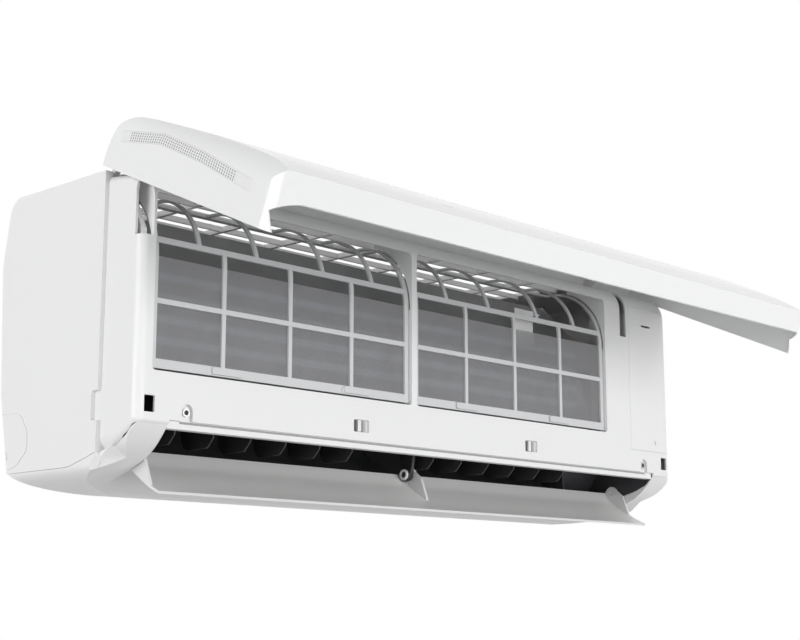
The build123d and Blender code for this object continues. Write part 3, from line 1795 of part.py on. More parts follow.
# ---------------------------------------------------------------- electrical side
box_left = 341.0
box_right = 414.0
box_front = -228.0
box_back = -171.0  # against the duct's end wall
box_foot = -52.0
box_head = 102.0
box_skin = 2.2
board_y = -184.0
board_skin = 1.6

with BuildPart() as control_box:
    with BuildSketch(facing(box_front)):
        with Locations(((box_left + box_right) / 2, (box_foot + box_head) / 2)):
            Rectangle(box_right - box_left, box_head - box_foot)
    extrude(amount=-(box_back - box_front))
    with BuildSketch(facing(box_front - 1)):
        with Locations(((box_left + box_right) / 2, (box_foot + box_head) / 2)):
            Rectangle(box_right - box_left - 2 * box_skin, box_head - box_foot - 2 * box_skin)
    extrude(amount=-(box_back - box_front + 1 - box_skin), mode=Mode.SUBTRACT)
    # posts under the board
    with BuildSketch(facing(board_y)):
        with Locations(((box_left + box_right) / 2, 20)):
            with GridLocations(48, 120, 2, 2):
                Circle(3)
    extrude(amount=-(box_back - board_y - box_skin / 2))

finish(control_box.part, "control_box")

with BuildPart() as circuit_board:
    with BuildSketch(facing(board_y - board_skin)):
        with Locations(((box_left + box_right) / 2, 20)):
            Rectangle(60, 132)
    extrude(amount=-board_skin)
    # transformer, capacitors, relays and plug rows
    board_face = facing(board_y - board_skin)
    for x, z, width, height, tall in (
        (362, 66, 26, 22, 20),
        (394, 60, 16, 20, 15),
        (360, 24, 18, 14, 12),
        (392, 20, 24, 10, 9),
        (366, -14, 30, 8, 8),
        (396, -20, 10, 24, 8),
    ):
        with BuildSketch(board_face):
            with Locations((x, z)):
                Rectangle(width, height)
        extrude(amount=tall)
    with BuildSketch(board_face):
        with Locations((384, 40), (398, 40)):
            Circle(5)
    extrude(amount=18)

finish(circuit_board.part, "circuit_board")

with BuildPart() as terminal_block:
    with BuildSketch(facing(-206)):
        with Locations((378, box_foot + box_skin + 8)):
            Rectangle(60, 16)
    extrude(amount=14)
    with BuildSketch(facing(-220)):
        with Locations((378, box_foot + box_skin + 8)):
            with GridLocations(11, 0, 5, 1):
                Circle(3)
    extrude(amount=-4, mode=Mode.SUBTRACT)

finish(terminal_block.part, "terminal_block")


# ---------------------------------------------------------------- screws
screw_head_radius = 4.0
screw_head = 2.4
boss_floor = front_y - 1 + 5


def screw(x, z, seat, length):
    """Cross-head screw driven into the unit from a seat facing the room."""
    with BuildPart() as body:
        with BuildSketch(facing(seat)):
            with Locations((x, z)):
                Circle(screw_head_radius)
        extrude(amount=screw_head)
        with BuildSketch(facing(seat)):
            with Locations((x, z)):
                Circle(screw_shank_radius)
        extrude(amount=-length)
        with BuildSketch(facing(seat - screw_head)):
            with Locations((x, z)):
                Rectangle(4.4, 0.9)
                Rectangle(0.9, 4.4)
        extrude(amount=-1, mode=Mode.SUBTRACT)
    return body.part


with BuildPart() as casing_screws:
    for x in screw_xs:
        add(screw(x, boss_height, boss_floor, 14))

finish(casing_screws.part, "casing_screws")

# ---------------------------------------------------------------- pipe stubs
pipe_start = coil_left - end_plate_skin
pipe_routes = (
    (3.2, [(pipe_start, -194, 34), (-406, -194, 34), (-406, -150, -96), (-406, -62, -112)]),
    (4.8, [(pipe_start, -182, 44.5), (-409, -182, 44.5), (-409, -140, -72), (-409, -62, -88)]),
)

with BuildPart() as refrigerant_pipes:
    for radius, points in pipe_routes:
        with BuildLine() as route:
            FilletPolyline(*points, radius=15)
        with BuildSketch(Plane(origin=points[0], z_dir=(-1, 0, 0))):
            Circle(radius)
        sweep(path=route.line)
        end = Vector(*points[-1])
        along = (end - Vector(*points[-2])).normalized()
        with BuildSketch(Plane(origin=end, z_dir=along)):
            RegularPolygon(radius + 4.5, 6)
        extrude(amount=12)

finish(refrigerant_pipes.part, "refrigerant_pipes")
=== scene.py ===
"""Looks of a mini split indoor unit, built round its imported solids. Sizes are in metres."""

from __future__ import annotations

import json
import logging
import math
from dataclasses import dataclass, field
from enum import Enum
from typing import Optional, Sequence, Union

import bmesh
import bpy
from mathutils import Euler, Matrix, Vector

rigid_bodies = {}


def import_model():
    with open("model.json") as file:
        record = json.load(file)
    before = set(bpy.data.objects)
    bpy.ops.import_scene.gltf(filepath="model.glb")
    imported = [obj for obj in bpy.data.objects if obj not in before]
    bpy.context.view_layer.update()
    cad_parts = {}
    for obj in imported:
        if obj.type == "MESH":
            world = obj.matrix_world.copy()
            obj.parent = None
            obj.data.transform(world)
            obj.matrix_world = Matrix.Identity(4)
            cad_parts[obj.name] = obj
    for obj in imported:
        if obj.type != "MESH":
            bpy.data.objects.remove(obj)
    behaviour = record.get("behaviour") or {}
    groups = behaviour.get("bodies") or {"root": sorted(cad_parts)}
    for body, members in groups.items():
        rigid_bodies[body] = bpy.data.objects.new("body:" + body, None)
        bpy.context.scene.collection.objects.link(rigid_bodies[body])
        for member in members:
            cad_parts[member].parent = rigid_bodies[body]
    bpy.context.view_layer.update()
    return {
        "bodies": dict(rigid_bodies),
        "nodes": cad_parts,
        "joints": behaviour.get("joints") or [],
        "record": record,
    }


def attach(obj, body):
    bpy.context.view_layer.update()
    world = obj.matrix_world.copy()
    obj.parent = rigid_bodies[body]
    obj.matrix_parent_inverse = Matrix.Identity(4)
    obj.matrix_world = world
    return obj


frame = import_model()

LOG = logging.getLogger("indoor_unit")

Number = Union[int, float]
Operand = Union["Socket", Number]
Colour = tuple[float, float, float]
Point = tuple[float, float, float]
Spot = tuple[float, float]
Span = tuple[float, float]
Values = dict[Union[str, int], object]

NOISE_MIDDLE = 0.5  # what a noise swings around
FRONT = -0.235  # the casing's flat front, along Y


class Side(Enum):
    """Left or right as seen from the room, with the sign of its X."""

    LEFT = -1.0
    RIGHT = 1.0

    def label(self) -> str:
        """Word that ends the name of a piece on this side."""
        return self.name.lower()


class Ray(Enum):
    """Rays that show the backdrop as it is: seen, mirrored or passed through."""

    SEEN = "Is Camera Ray"
    MIRRORED = "Is Glossy Ray"
    PASSED = "Is Transmission Ray"


class Layers(Enum):
    """Number of layers in a noise."""

    CLOUD = 3.0
    GRAIN = 2.0


class Socket:
    """An output of a shader node that takes part in Python expressions."""

    def __init__(self, graph: Graph, output: bpy.types.NodeSocket) -> None:
        """Wrap an output.

        Args:
            graph: The graph that the output belongs to.
            output: The node output itself.
        """
        self.graph = graph
        self.output = output

    def _math(self, operation: str, *values: Operand) -> Socket:
        """Add a Math node on values."""
        return self.graph.node("ShaderNodeMath", {"operation": operation}, dict(enumerate(values)))

    def __add__(self, other: Operand) -> Socket:
        """Sum."""
        return self._math("ADD", self, other)

    def __radd__(self, other: Number) -> Socket:
        """Sum with a number on the left."""
        return self._math("ADD", other, self)

    def __sub__(self, other: Operand) -> Socket:
        """Difference."""
        return self._math("SUBTRACT", self, other)

    def __rsub__(self, other: Number) -> Socket:
        """Difference from a number on the left."""
        return self._math("SUBTRACT", other, self)

    def __mul__(self, other: Operand) -> Socket:
        """Product."""
        return self._math("MULTIPLY", self, other)

    def __rmul__(self, other: Number) -> Socket:
        """Product with a number on the left."""
        return self._math("MULTIPLY", other, self)

    def __gt__(self, other: Operand) -> Socket:
        """One where this is larger."""
        return self._math("GREATER_THAN", self, other)

    def __lt__(self, other: Operand) -> Socket:
        """One where this is smaller."""
        return self._math("LESS_THAN", self, other)

    def __mod__(self, other: Number) -> Socket:
        """Remainder that is never negative."""
        return self._math("FLOORED_MODULO", self, other)

    def __abs__(self) -> Socket:
        """Size without its sign."""
        return self._math("ABSOLUTE", self)

    def larger(self, other: Operand) -> Socket:
        """The larger of two values."""
        return self._math("MAXIMUM", self, other)

    def clamped(self) -> Socket:
        """Value kept between zero and one."""
        return self.graph.node("ShaderNodeClamp", {}, {"Value": self})

    def zigzag(self, pitch: float) -> Socket:
        """One at each multiple of the pitch, and zero halfway between two."""
        return abs((self % pitch) * (2 / pitch) - 1.0)

    def share(self, start: float, end: float) -> Socket:
        """Zero at the start, one at the end, and clamped beyond them."""
        return ((self - start) * (1 / (end - start))).clamped()


class Graph:
    """Node graph of one material or of the world."""

    def __init__(self, owner: Union[bpy.types.Material, bpy.types.World]) -> None:
        """Clear the owner's node tree and start it afresh.

        Args:
            owner: The material or world that the nodes belong to.
        """
        owner.use_nodes = True
        self.owner = owner
        self.tree = owner.node_tree
        self.tree.nodes.clear()
        kind = "Material" if isinstance(owner, bpy.types.Material) else "World"
        self.out = self.tree.nodes.new(f"ShaderNodeOutput{kind}")

    @classmethod
    def material(cls, name: str) -> Graph:
        """Start a new material's graph."""
        return cls(bpy.data.materials.new(name))

    def close(self, shader: Socket) -> Union[bpy.types.Material, bpy.types.World]:
        """Link the last shader to the output and hand back the owner."""
        self.tree.links.new(shader.output, self.out.inputs["Surface"])
        return self.owner

    def node(
        self,
        kind: str,
        settings: dict[str, object],
        values: Values,
        output: Union[str, int] = 0,
    ) -> Socket:
        """Add any node.

        Args:
            kind: The node's type.
            settings: Its settings, set first.
            values: Values or links of its input sockets.
            output: Which output to hand back.

        Returns:
            The chosen output, wrapped.
        """
        made = self.tree.nodes.new(kind)
        for key, value in settings.items():
            setattr(made, key, value)
        for key, value in values.items():
            if isinstance(value, Socket):
                self.tree.links.new(value.output, made.inputs[key])
            else:
                made.inputs[key].default_value = value
        return Socket(self, made.outputs[output])

    def place(self) -> Socket:
        """Position on the piece in its own frame, in metres."""
        return self.node("ShaderNodeTexCoord", {}, {}, "Object")

    def parts(self, vector: Socket) -> list[Socket]:
        """Split a vector into its three numbers."""
        split = self.node("ShaderNodeSeparateXYZ", {}, {"Vector": vector})
        return [Socket(self, output) for output in split.output.node.outputs]

    def noise(
        self, scale: float, layers: Layers = Layers.GRAIN, where: Optional[Socket] = None
    ) -> Socket:
        """Soft cloudy value around one half.

        Args:
            scale: Features per metre.
            layers: How many layers it has.
            where: The vector that it follows, or the piece's own position.

        Returns:
            The noise value.
        """
        vector = self.place() if where is None else where
        values: Values = {"Vector": vector, "Scale": scale, "Detail": layers.value}
        return self.node("ShaderNodeTexNoise", {}, values)

    def speckled(self, scale: float, least: float, spread: float = 0.1) -> Socket:
        """Roughness that varies finely.

        Args:
            scale: Speckles per metre.
            least: The lowest roughness.
            spread: How much is added to it at most.

        Returns:
            The roughness.
        """
        return self.noise(scale) * spread + least

    def mix(self, factor: Socket, first: object, second: object) -> Socket:
        """Blend two colours by a factor.

        Args:
            factor: Zero for the first, one for the second.
            first: A colour or a colour socket.
            second: A colour or a colour socket.

        Returns:
            The blended colour.
        """
        first_input, second_input, colour_output = 6, 7, 2
        values: Values = {0: factor}
        for key, value in ((first_input, first), (second_input, second)):
            values[key] = value if isinstance(value, Socket) else (*value, 1.0)
        return self.node("ShaderNodeMix", {"data_type": "RGBA"}, values, colour_output)

    def bump(self, height: Socket, strength: float, distance: float) -> Socket:
        """Normal raised by a height value.

        Args:
            height: Height, zero to one.
            strength: How strongly it shows.
            distance: Its depth in metres.

        Returns:
            The normal.
        """
        values: Values = {"Height": height, "Strength": strength, "Distance": distance}
        return self.node("ShaderNodeBump", {}, values)

    def ray(self, kind: Ray) -> Socket:
        """One for the rays of a kind, zero for all others."""
        return self.node("ShaderNodeLightPath", {}, {}, kind.value)

    def backdrop(self) -> Socket:
        """One for the rays that show the backdrop, zero for those that light the unit."""
        return (self.ray(Ray.SEEN) + self.ray(Ray.MIRRORED) + self.ray(Ray.PASSED)).clamped()


def darker(colour: Colour, share: float) -> Colour:
    """Darken a colour by a share of itself."""
    return tuple(channel * (1 - share) for channel in colour)


# ---------------------------------------------------------------- finishes


@dataclass(frozen=True)
class Finish:
    """A named finish. Each kind gives the values of its own surface."""

    name: str

    def surface(self, graph: Graph) -> Values:
        """Work out the surface.

        Args:
            graph: The graph that it is worked out in.

        Returns:
            Values or links of the principled shader's sockets.
        """
        raise NotImplementedError

    def make(self) -> bpy.types.Material:
        """Build the finish as a material."""
        graph = Graph.material(self.name)
        return graph.close(graph.node("ShaderNodeBsdfPrincipled", {}, self.surface(graph)))


@dataclass(frozen=True)
class Moulded(Finish):
    """Injection-moulded plastic with faint colour drift and a fine grain."""

    colour: Colour
    roughness: float = 0.35
    grain: float = 900.0
    depth: float = 0.00003
    coat: float = 0.0
    patches: float = 9.0
    drift: float = 0.02
    grain_spread: float = 0.12
    patch_spread: float = 0.06
    relief: float = 0.35
    coat_roughness: float = 0.08

    def surface(self, graph: Graph) -> Values:
        """Work out the moulding's drifting colour and grain.

        Args:
            graph: The graph that it is worked out in.

        Returns:
            Values or links of the principled shader's sockets.
        """
        patch = graph.noise(self.patches, Layers.CLOUD)
        grain = graph.noise(self.grain)
        from_grain = (grain - NOISE_MIDDLE) * self.grain_spread
        from_patch = (patch - NOISE_MIDDLE) * self.patch_spread
        return {
            "Base Color": graph.mix(patch, self.colour, darker(self.colour, self.drift)),
            "Roughness": from_grain + from_patch + self.roughness,
            "Normal": graph.bump(grain, self.relief, self.depth),
            "Coat Weight": self.coat,
            "Coat Roughness": self.coat_roughness,
        }


@dataclass(frozen=True)
class Metal(Finish):
    """Sheet, turned or drawn metal with fine marks along it."""

    colour: Colour
    roughness: float = 0.35
    stretch: Point = (40.0, 900.0, 900.0)
    patches: float = 30.0
    drift: float = 0.18
    spread: float = 0.2
    relief: float = 0.3
    depth: float = 0.00002

    def surface(self, graph: Graph) -> Values:
        """Work out the metal's patches and long marks.

        Args:
            graph: The graph that it is worked out in.

        Returns:
            Values or links of the principled shader's sockets.
        """
        placed: Values = {"Vector": graph.place(), "Scale": self.stretch}
        marks = graph.noise(1.0, where=graph.node("ShaderNodeMapping", {}, placed))
        patch = graph.noise(self.patches, Layers.CLOUD)
        return {
            "Base Color": graph.mix(patch, self.colour, darker(self.colour, self.drift)),
            "Metallic": 1.0,
            "Roughness": (marks - NOISE_MIDDLE) * self.spread + self.roughness,
            "Normal": graph.bump(marks, self.relief, self.depth),
        }


@dataclass(frozen=True)
class FinStack(Finish):
    """Stacked aluminium fins of a coil, crossed by paler stamped rows."""

    colour: Colour = (0.20, 0.202, 0.206)
    stripe: Colour = (0.72, 0.84, 0.90)
    pitch: float = 0.0016
    row: float = 0.021
    row_edge: Span = (0.5, 0.75)
    head: float = 0.048
    fade: float = 0.004
    patches: float = 14.0
    faintest: float = 0.5
    metallic: float = 0.3
    roughness: float = 0.35
    spread: float = 0.2
    relief: float = 0.6
    depth: float = 0.0004

    def surface(self, graph: Graph) -> Values:
        """Work out the fins' edges and the stamped rows below the coil's head.

        Args:
            graph: The graph that it is worked out in.

        Returns:
            Values or links of the principled shader's sockets.
        """
        along, _, up = graph.parts(graph.place())
        below_head = up.share(self.head, self.head - self.fade)
        stripe = up.zigzag(self.row).share(*self.row_edge) * below_head
        patch = graph.noise(self.patches)
        strength = stripe * (patch * (1 - self.faintest) + self.faintest)
        return {
            "Base Color": graph.mix(strength, self.colour, self.stripe),
            "Metallic": self.metallic,
            "Roughness": patch * self.spread + self.roughness,
            "Normal": graph.bump(along.zigzag(self.pitch), self.relief, self.depth),
        }


@dataclass(frozen=True)
class Net(Finish):
    """Fine woven net with its threads on the slant, partly see-through."""

    colour: Colour = (0.38, 0.38, 0.39)
    shade: Colour = (0.29, 0.29, 0.30)
    patches: float = 60.0
    pitch: float = 0.0026
    thread: float = 0.5
    cover: float = 0.62
    gap: float = 0.14
    roughness: float = 0.5
    thread_roughness: float = 0.6

    def surface(self, graph: Graph) -> Values:
        """Work out the two ways of the weave and how much each hides.

        Args:
            graph: The graph that it is worked out in.

        Returns:
            Values or links of the principled shader's sockets.
        """
        along, out, up = graph.parts(graph.place())
        depth = up - out
        warp = (along + depth).zigzag(self.pitch) > self.thread
        weft = (along - depth).zigzag(self.pitch) > self.thread
        thread = (warp + weft).clamped()
        patch = graph.noise(self.patches, Layers.CLOUD)
        return {
            "Base Color": graph.mix(patch, self.colour, self.shade),
            "Roughness": thread * (self.thread_roughness - self.roughness) + self.roughness,
            "Alpha": thread * (self.cover - self.gap) + self.gap,
        }


@dataclass(frozen=True, kw_only=True)
class OnPanel(Finish):
    """Finish of a piece on the front panel, worked out with the panel swung shut."""

    hinge: Point = (0.0, -0.1735, 0.1373)
    swing: float = math.radians(65.8)

    def shut(self, graph: Graph) -> list[Socket]:
        """Find where a point lies once the panel is shut.

        Args:
            graph: The graph that it is worked out in.

        Returns:
            The place along X, Y and Z.
        """
        values: Values = {"Vector": graph.place(), "Center": self.hinge, "Angle": self.swing}
        settings: dict[str, object] = {"rotation_type": "X_AXIS"}
        return graph.parts(graph.node("ShaderNodeVectorRotate", settings, values))


@dataclass(frozen=True)
class Perforated(OnPanel):
    """Moulded strip along the panel's end, with rows of small holes between two seams. The holes
    are dark dots of painted shade.

    The outer edge of the strip is the largest of three straight lines in the side view, each
    given by a height, the Y there and how Y changes with the height.
    """

    colour: Colour
    hole_shade: Colour
    seam: Colour
    rows: tuple[float, ...] = (0.0018, 0.0042, 0.0066, 0.0090)
    width: float = 0.011
    seam_width: float = 0.0004
    pitch: float = 0.0036
    radius: float = 0.00085
    span: Span = (-0.066, 0.108)
    lines: tuple[tuple[float, float, float], ...] = (
        (0.057, -0.2198, 0.1585),
        (0.057, -0.2198, -0.0418),
        (-0.010, -0.2170, -0.1125),
    )
    speckle: float = 500.0
    roughness: float = 0.3
    relief: float = 0.5
    depth: float = 0.0005

    def surface(self, graph: Graph) -> Values:
        """Work out the holes, coloured with painted shade, and the seams from the strip's outer
        edge.

        Args:
            graph: The graph that it is worked out in.

        Returns:
            Values or links of the principled shader's sockets.
        """
        _, out, up = self.shut(graph)
        edges = [(up - height) * slope + start for height, start, slope in self.lines]
        across = edges[0].larger(edges[1]).larger(edges[2]) - out
        along = (up % self.pitch) - self.pitch / 2
        holes: Operand = 0.0
        for row in self.rows:
            offset = across - row
            holes = (offset * offset + along * along < self.radius**2) + holes
        holes = holes * ((up > self.span[0]) * (up < self.span[1]))
        seam = abs(across - self.width / 2) > self.width / 2 - self.seam_width
        strip = graph.mix(seam, self.colour, self.seam)
        return {
            # the holes' dark colour is painted shade; the bump below dents them
            "Base Color": graph.mix(holes, strip, self.hole_shade),
            "Roughness": graph.speckled(self.speckle, self.roughness),
            "Normal": graph.bump(1.0 - holes, self.relief, self.depth),
        }


@dataclass(frozen=True)
class Ringed(OnPanel):
    """Small long-round window in the panel with a dark line round its rim."""

    colour: Colour
    rim: Colour
    centre: Point
    half: Span
    line: float
    speckle: float = 300.0
    roughness: float = 0.2
    coat: float = 0.4

    def surface(self, graph: Graph) -> Values:
        """Work out the rim from the distance to the window's middle line.

        Args:
            graph: The graph that it is worked out in.

        Returns:
            Values or links of the principled shader's sockets.
        """
        half_length, radius = self.half
        along, _, up = self.shut(graph)
        beyond = (abs(along - self.centre[0]) - (half_length - radius)).larger(0.0)
        height = up - self.centre[2]
        rim = beyond * beyond + height * height > (radius - self.line) ** 2
        return {
            "Base Color": graph.mix(rim, self.colour, self.rim),
            "Roughness": graph.speckled(self.speckle, self.roughness),
            "Coat Weight": self.coat,
        }


@dataclass(frozen=True)
class Shaded(Finish):
    """Moulded hollow with painted shade: its colour runs from dark at the sunken end to light at
    the raised end along X.
    """

    deep_shade: Colour
    shallow_lit: Colour
    start: float
    end: float
    speckle: float = 400.0
    roughness: float = 0.5

    def surface(self, graph: Graph) -> Values:
        """Work out the run of painted shade.

        Args:
            graph: The graph that it is worked out in.

        Returns:
            Values or links of the principled shader's sockets.
        """
        along = graph.parts(graph.place())[0]
        return {
            "Base Color": graph.mix(along.share(self.start, self.end), self.deep_shade, self.shallow_lit),
            "Roughness": graph.speckled(self.speckle, self.roughness),
        }


@dataclass
class Palette:
    """All finishes of the unit, each made once."""

    made: dict[str, bpy.types.Material] = field(default_factory=dict)

    def get(self, finish: Finish) -> bpy.types.Material:
        """Return a finish's material, made on first use.

        Args:
            finish: The finish wanted.

        Returns:
            Its material.
        """
        if finish.name not in self.made:
            self.made[finish.name] = finish.make()
        return self.made[finish.name]


SHELL = Moulded("shell_white", (0.87, 0.872, 0.872), 0.42, coat=0.15)
PANEL = Moulded("panel_gloss", (0.88, 0.885, 0.885), 0.22, grain=500.0, depth=0.00001, coat=0.5)
TRIM = Perforated(
    "trim_strip",
    colour=(0.84, 0.845, 0.845),
    # colour of the painted shade in the holes
    hole_shade=(0.30, 0.30, 0.30),
    seam=(0.6, 0.6, 0.6),
)
WINDOW = Ringed(
    "sensor_window",
    colour=(0.80, 0.80, 0.80),
    rim=(0.05, 0.05, 0.055),
    centre=(-0.196, 0.0, -0.092),
    half=(0.0075, 0.003),
    line=0.0009,
)
CHASSIS = Moulded("chassis_black", (0.05, 0.051, 0.055), 0.42)
GRILLE = Moulded("grille_moulding", (0.86, 0.86, 0.86), 0.45)
FRAME = Moulded("filter_frame_grey", (0.67, 0.675, 0.685), 0.45)
NET = Net("filter_net")
FINS = FinStack("coil_fins")
COPPER = Metal("copper_tube", (0.72, 0.40, 0.25), 0.35)
ZINC = Metal("zinc_sheet", (0.62, 0.63, 0.64), 0.4)
PAN = Moulded("pan_dark", (0.035, 0.036, 0.038), 0.7, grain=400.0)
FAN = Moulded("fan_black", (0.03, 0.03, 0.03), 0.45)
STEEL = Metal("turned_steel", (0.6, 0.6, 0.6), 0.3)
RUBBER = Moulded("bearing_rubber", (0.02, 0.02, 0.02), 0.8)
MOTOR = Metal("motor_shell", (0.5, 0.51, 0.52), 0.45)
VANE = Moulded("vane_black", (0.04, 0.04, 0.043), 0.4)
LINK = Moulded("link_black", (0.03, 0.03, 0.03), 0.4)
SMALL = Moulded("small_white", (0.78, 0.78, 0.77), 0.42)
FLAP = Moulded("flap_white", (0.79, 0.79, 0.785), 0.35, coat=0.2)
BOARD = Moulded("board_green", (0.05, 0.20, 0.09), 0.35)
TERMINAL = Moulded("terminal_black", (0.03, 0.03, 0.03), 0.4)
# near-black colour laid as painted shade in the latch slots, screw recesses and bearing bore
PAINTED_SHADE = Moulded("shadowed_hollow", (0.02, 0.02, 0.022), 0.7)
# grey colour of painted shadow in the step under the casing's lower edge
GROOVE_SHADOW = Moulded("groove_shadow_grey", (0.36, 0.36, 0.36), 0.6)
CARD = Moulded("card_white", (0.86, 0.86, 0.86), 0.6)
# painted shade across the latch ramp, dark where it lies deepest
RAMP_SHADE = Shaded(
    "window_ramp_shade", deep_shade=(0.10, 0.10, 0.10), shallow_lit=(0.80, 0.80, 0.80), start=0.0003, end=0.0105
)

SLOT_FINISH: dict[str, Finish] = {
    "white_shell": SHELL,
    "panel_white": PANEL,
    "trim_grey": TRIM,
    "window_dark": WINDOW,
    "chassis_black": CHASSIS,
    "grille_white": GRILLE,
    "filter_grey": FRAME,
    "filter_net": NET,
    "fins": FINS,
    "copper": COPPER,
    "galvanised": ZINC,
    "foam_dark": PAN,
    "fan_black": FAN,
    "steel": STEEL,
    "bearing_rubber": RUBBER,
    "motor_shell": MOTOR,
    "vane_black": VANE,
    "link_black": LINK,
    "white_small": SMALL,
    "flap_white": FLAP,
    "board_green": BOARD,
    "terminal_black": TERMINAL,
}


# ---------------------------------------------------------------- studio


def aimed(way: Vector) -> Euler:
    """Turn of a camera or lamp that looks along a way."""
    return way.to_track_quat("-Z", "Y").to_euler()


@dataclass(frozen=True)
class Camera:
    """Camera at the photograph's viewpoint. Its angles are in degrees, its lens in millimetres."""

    eye: Point = (-1.1990, -1.3309, -0.2706)
    pitch: float = 11.04
    yaw: float = 45.56
    lens: float = 66.24
    sensor: float = 36.0
    clip: Span = (0.05, 30.0)

    def set_up(self) -> None:
        """Make the camera and look through it."""
        data = bpy.data.cameras.new("view")
        data.lens = self.lens
        data.sensor_width = self.sensor
        data.sensor_fit = "HORIZONTAL"
        data.clip_start, data.clip_end = self.clip
        camera = bpy.data.objects.new("view", data)
        bpy.context.scene.collection.objects.link(camera)
        yaw, pitch = math.radians(self.yaw), math.radians(self.pitch)
        level = math.cos(pitch)
        camera.location = self.eye
        camera.rotation_euler = aimed(
            Vector((math.sin(yaw) * level, math.cos(yaw) * level, math.sin(pitch)))
        )
        bpy.context.scene.camera = camera


@dataclass(frozen=True)
class Lamp:
    """Soft square lamp. Its power is in watts."""

    name: str
    place: Point
    size: float
    power: float
    target: Point = (0.0, -0.1, 0.0)

    def set_up(self) -> None:
        """Hang the lamp and point it at its target."""
        data = bpy.data.lights.new(self.name, "AREA")
        data.size = self.size
        data.energy = self.power
        lamp = bpy.data.objects.new(self.name, data)
        lamp.location = self.place
        lamp.rotation_euler = aimed(Vector(self.target) - Vector(self.place))
        bpy.context.scene.collection.objects.link(lamp)


@dataclass(frozen=True)
class Floor:
    """Plain pale floor that the camera sees as white."""

    height: float = -1.1
    reach: float = 12.0
    grey: float = 0.5
    roughness: float = 0.9
    glow: float = 1.0

    def set_up(self) -> None:
        """Lay the floor."""
        mesh = bpy.data.meshes.new("floor")
        signs = ((-1, -1), (1, -1), (1, 1), (-1, 1))
        corners = [(x * self.reach, y * self.reach, self.height) for x, y in signs]
        mesh.from_pydata(corners, [], [(0, 1, 2, 3)])
        floor = bpy.data.objects.new("floor", mesh)
        bpy.context.scene.collection.objects.link(floor)
        graph = Graph.material("floor_pale")
        colour = (self.grey, self.grey, self.grey, 1.0)
        paint: Values = {"Base Color": colour, "Roughness": self.roughness}
        glow: Values = {"Color": (1.0, 1.0, 1.0, 1.0), "Strength": self.glow}
        values: Values = {
            0: graph.backdrop(),
            1: graph.node("ShaderNodeBsdfPrincipled", {}, paint),
            2: graph.node("ShaderNodeEmission", {}, glow),
        }
        mesh.materials.append(graph.close(graph.node("ShaderNodeMixShader", {}, values)))


@dataclass(frozen=True)
class Sky:
    """Even light that dims overhead, with a white backdrop."""

    horizon: float = 0.68
    overhead: float = 0.16
    backdrop: float = 1.0

    def set_up(self) -> None:
        """Make the world."""
        world = bpy.data.worlds.new("soft_sky")
        bpy.context.scene.world = world
        graph = Graph(world)
        up = graph.parts(graph.node("ShaderNodeTexCoord", {}, {}, "Generated"))[2].clamped()
        light = up * (self.overhead - self.horizon) + self.horizon
        values: Values = {0: graph.backdrop()}
        for key, strength in ((1, light), (2, self.backdrop)):
            white: Values = {"Color": (1.0, 1.0, 1.0, 1.0), "Strength": strength}
            values[key] = graph.node("ShaderNodeBackground", {}, white)
        graph.close(graph.node("ShaderNodeMixShader", {}, values))


@dataclass
class Studio:
    """Camera, floor, sky and soft lamps."""

    camera: Camera = Camera()
    floor: Floor = Floor()
    sky: Sky = Sky()
    lamps: tuple[Lamp, ...] = (
        Lamp("front", place=(0.3, -3.0, -0.1), size=2.2, power=49.0),
        Lamp("side", place=(-3.0, -0.2, 0.1), size=1.6, power=37.0),
    )

    def build(self) -> list[str]:
        """Set everything up.

        Returns:
            The names of what was set up.
        """
        bpy.context.scene.view_settings.view_transform = "Standard"
        for item in (self.camera, self.floor, self.sky, *self.lamps):
            item.set_up()
        return ["camera", "floor", "sky", *(f"{lamp.name} lamp" for lamp in self.lamps)]


# ---------------------------------------------------------------- pieces


@dataclass
class SolidPieces:
    """Pieces whose solids are shown as they are, each with its full finish."""

    model: dict[str, object]
    palette: Palette

    def build(self) -> list[str]:
        """Give every carried-over solid its finish.

        Returns:
            The names of the dressed pieces.
        """
        slots = {row["node"]: row["material_slot"] for row in self.model["record"]["subparts"]}
        for name, solid in self.model["nodes"].items():
            material = self.palette.get(SLOT_FINISH[slots[name]])
            for slot in solid.material_slots:
                slot.material = material
        return list(self.model["nodes"])


def cut_corners(outline: Sequence[Spot], amount: float, most: float = 0.45) -> list[Spot]:
    """Cut each corner of a closed outline by a short facet.

    Args:
        outline: Corners in order.
        amount: How far from a corner the facet starts.
        most: The largest share of an edge that one cut may take.

    Returns:
        The outline with two points for each corner.
    """
    cut: list[Spot] = []
    for index, corner in enumerate(outline):
        here = Vector(corner)
        for other in (outline[index - 1], outline[(index + 1) % len(outline)]):
            way = Vector(other) - here
            cut.append(tuple(here + way.normalized() * min(amount, way.length * most)))
    return cut


def bridge(
    mesh: bmesh.types.BMesh,
    first: Sequence[bmesh.types.BMVert],
    second: Sequence[bmesh.types.BMVert],
) -> None:
    """Join two closed rows of vertices with faces.

    Args:
        mesh: The mesh that holds them.
        first: One row.
        second: The other, of the same length.
    """
    for index in range(len(first)):
        after = (index + 1) % len(first)
        mesh.faces.new((first[index], first[after], second[after], second[index]))


def plate(
    outline: Sequence[Spot], depth: float, edge: float, most: float = 0.5
) -> bmesh.types.BMesh:
    """Plate facing the room, with an eased front edge.

    Args:
        outline: Its front view, X and Z.
        depth: Its thickness toward the wall.
        edge: Width of the eased edge.
        most: The largest share of the way to its middle that the edge may take.

    Returns:
        The mesh.
    """
    mesh = bmesh.new()
    middle = sum((Vector(point) for point in outline), Vector((0, 0))) / len(outline)
    rims = []
    for out, inset in ((0.0, edge), (edge, 0.0), (depth, 0.0)):
        rim = []
        for point in outline:
            way = middle - Vector(point)
            moved = Vector(point) + way.normalized() * min(inset, way.length * most)
            rim.append(mesh.verts.new((moved.x, out, moved.y)))
        rims.append(rim)
    mesh.faces.new(rims[0])
    mesh.faces.new(rims[-1][::-1])
    for front, back in zip(rims, rims[1:]):
        bridge(mesh, front, back)
    return mesh


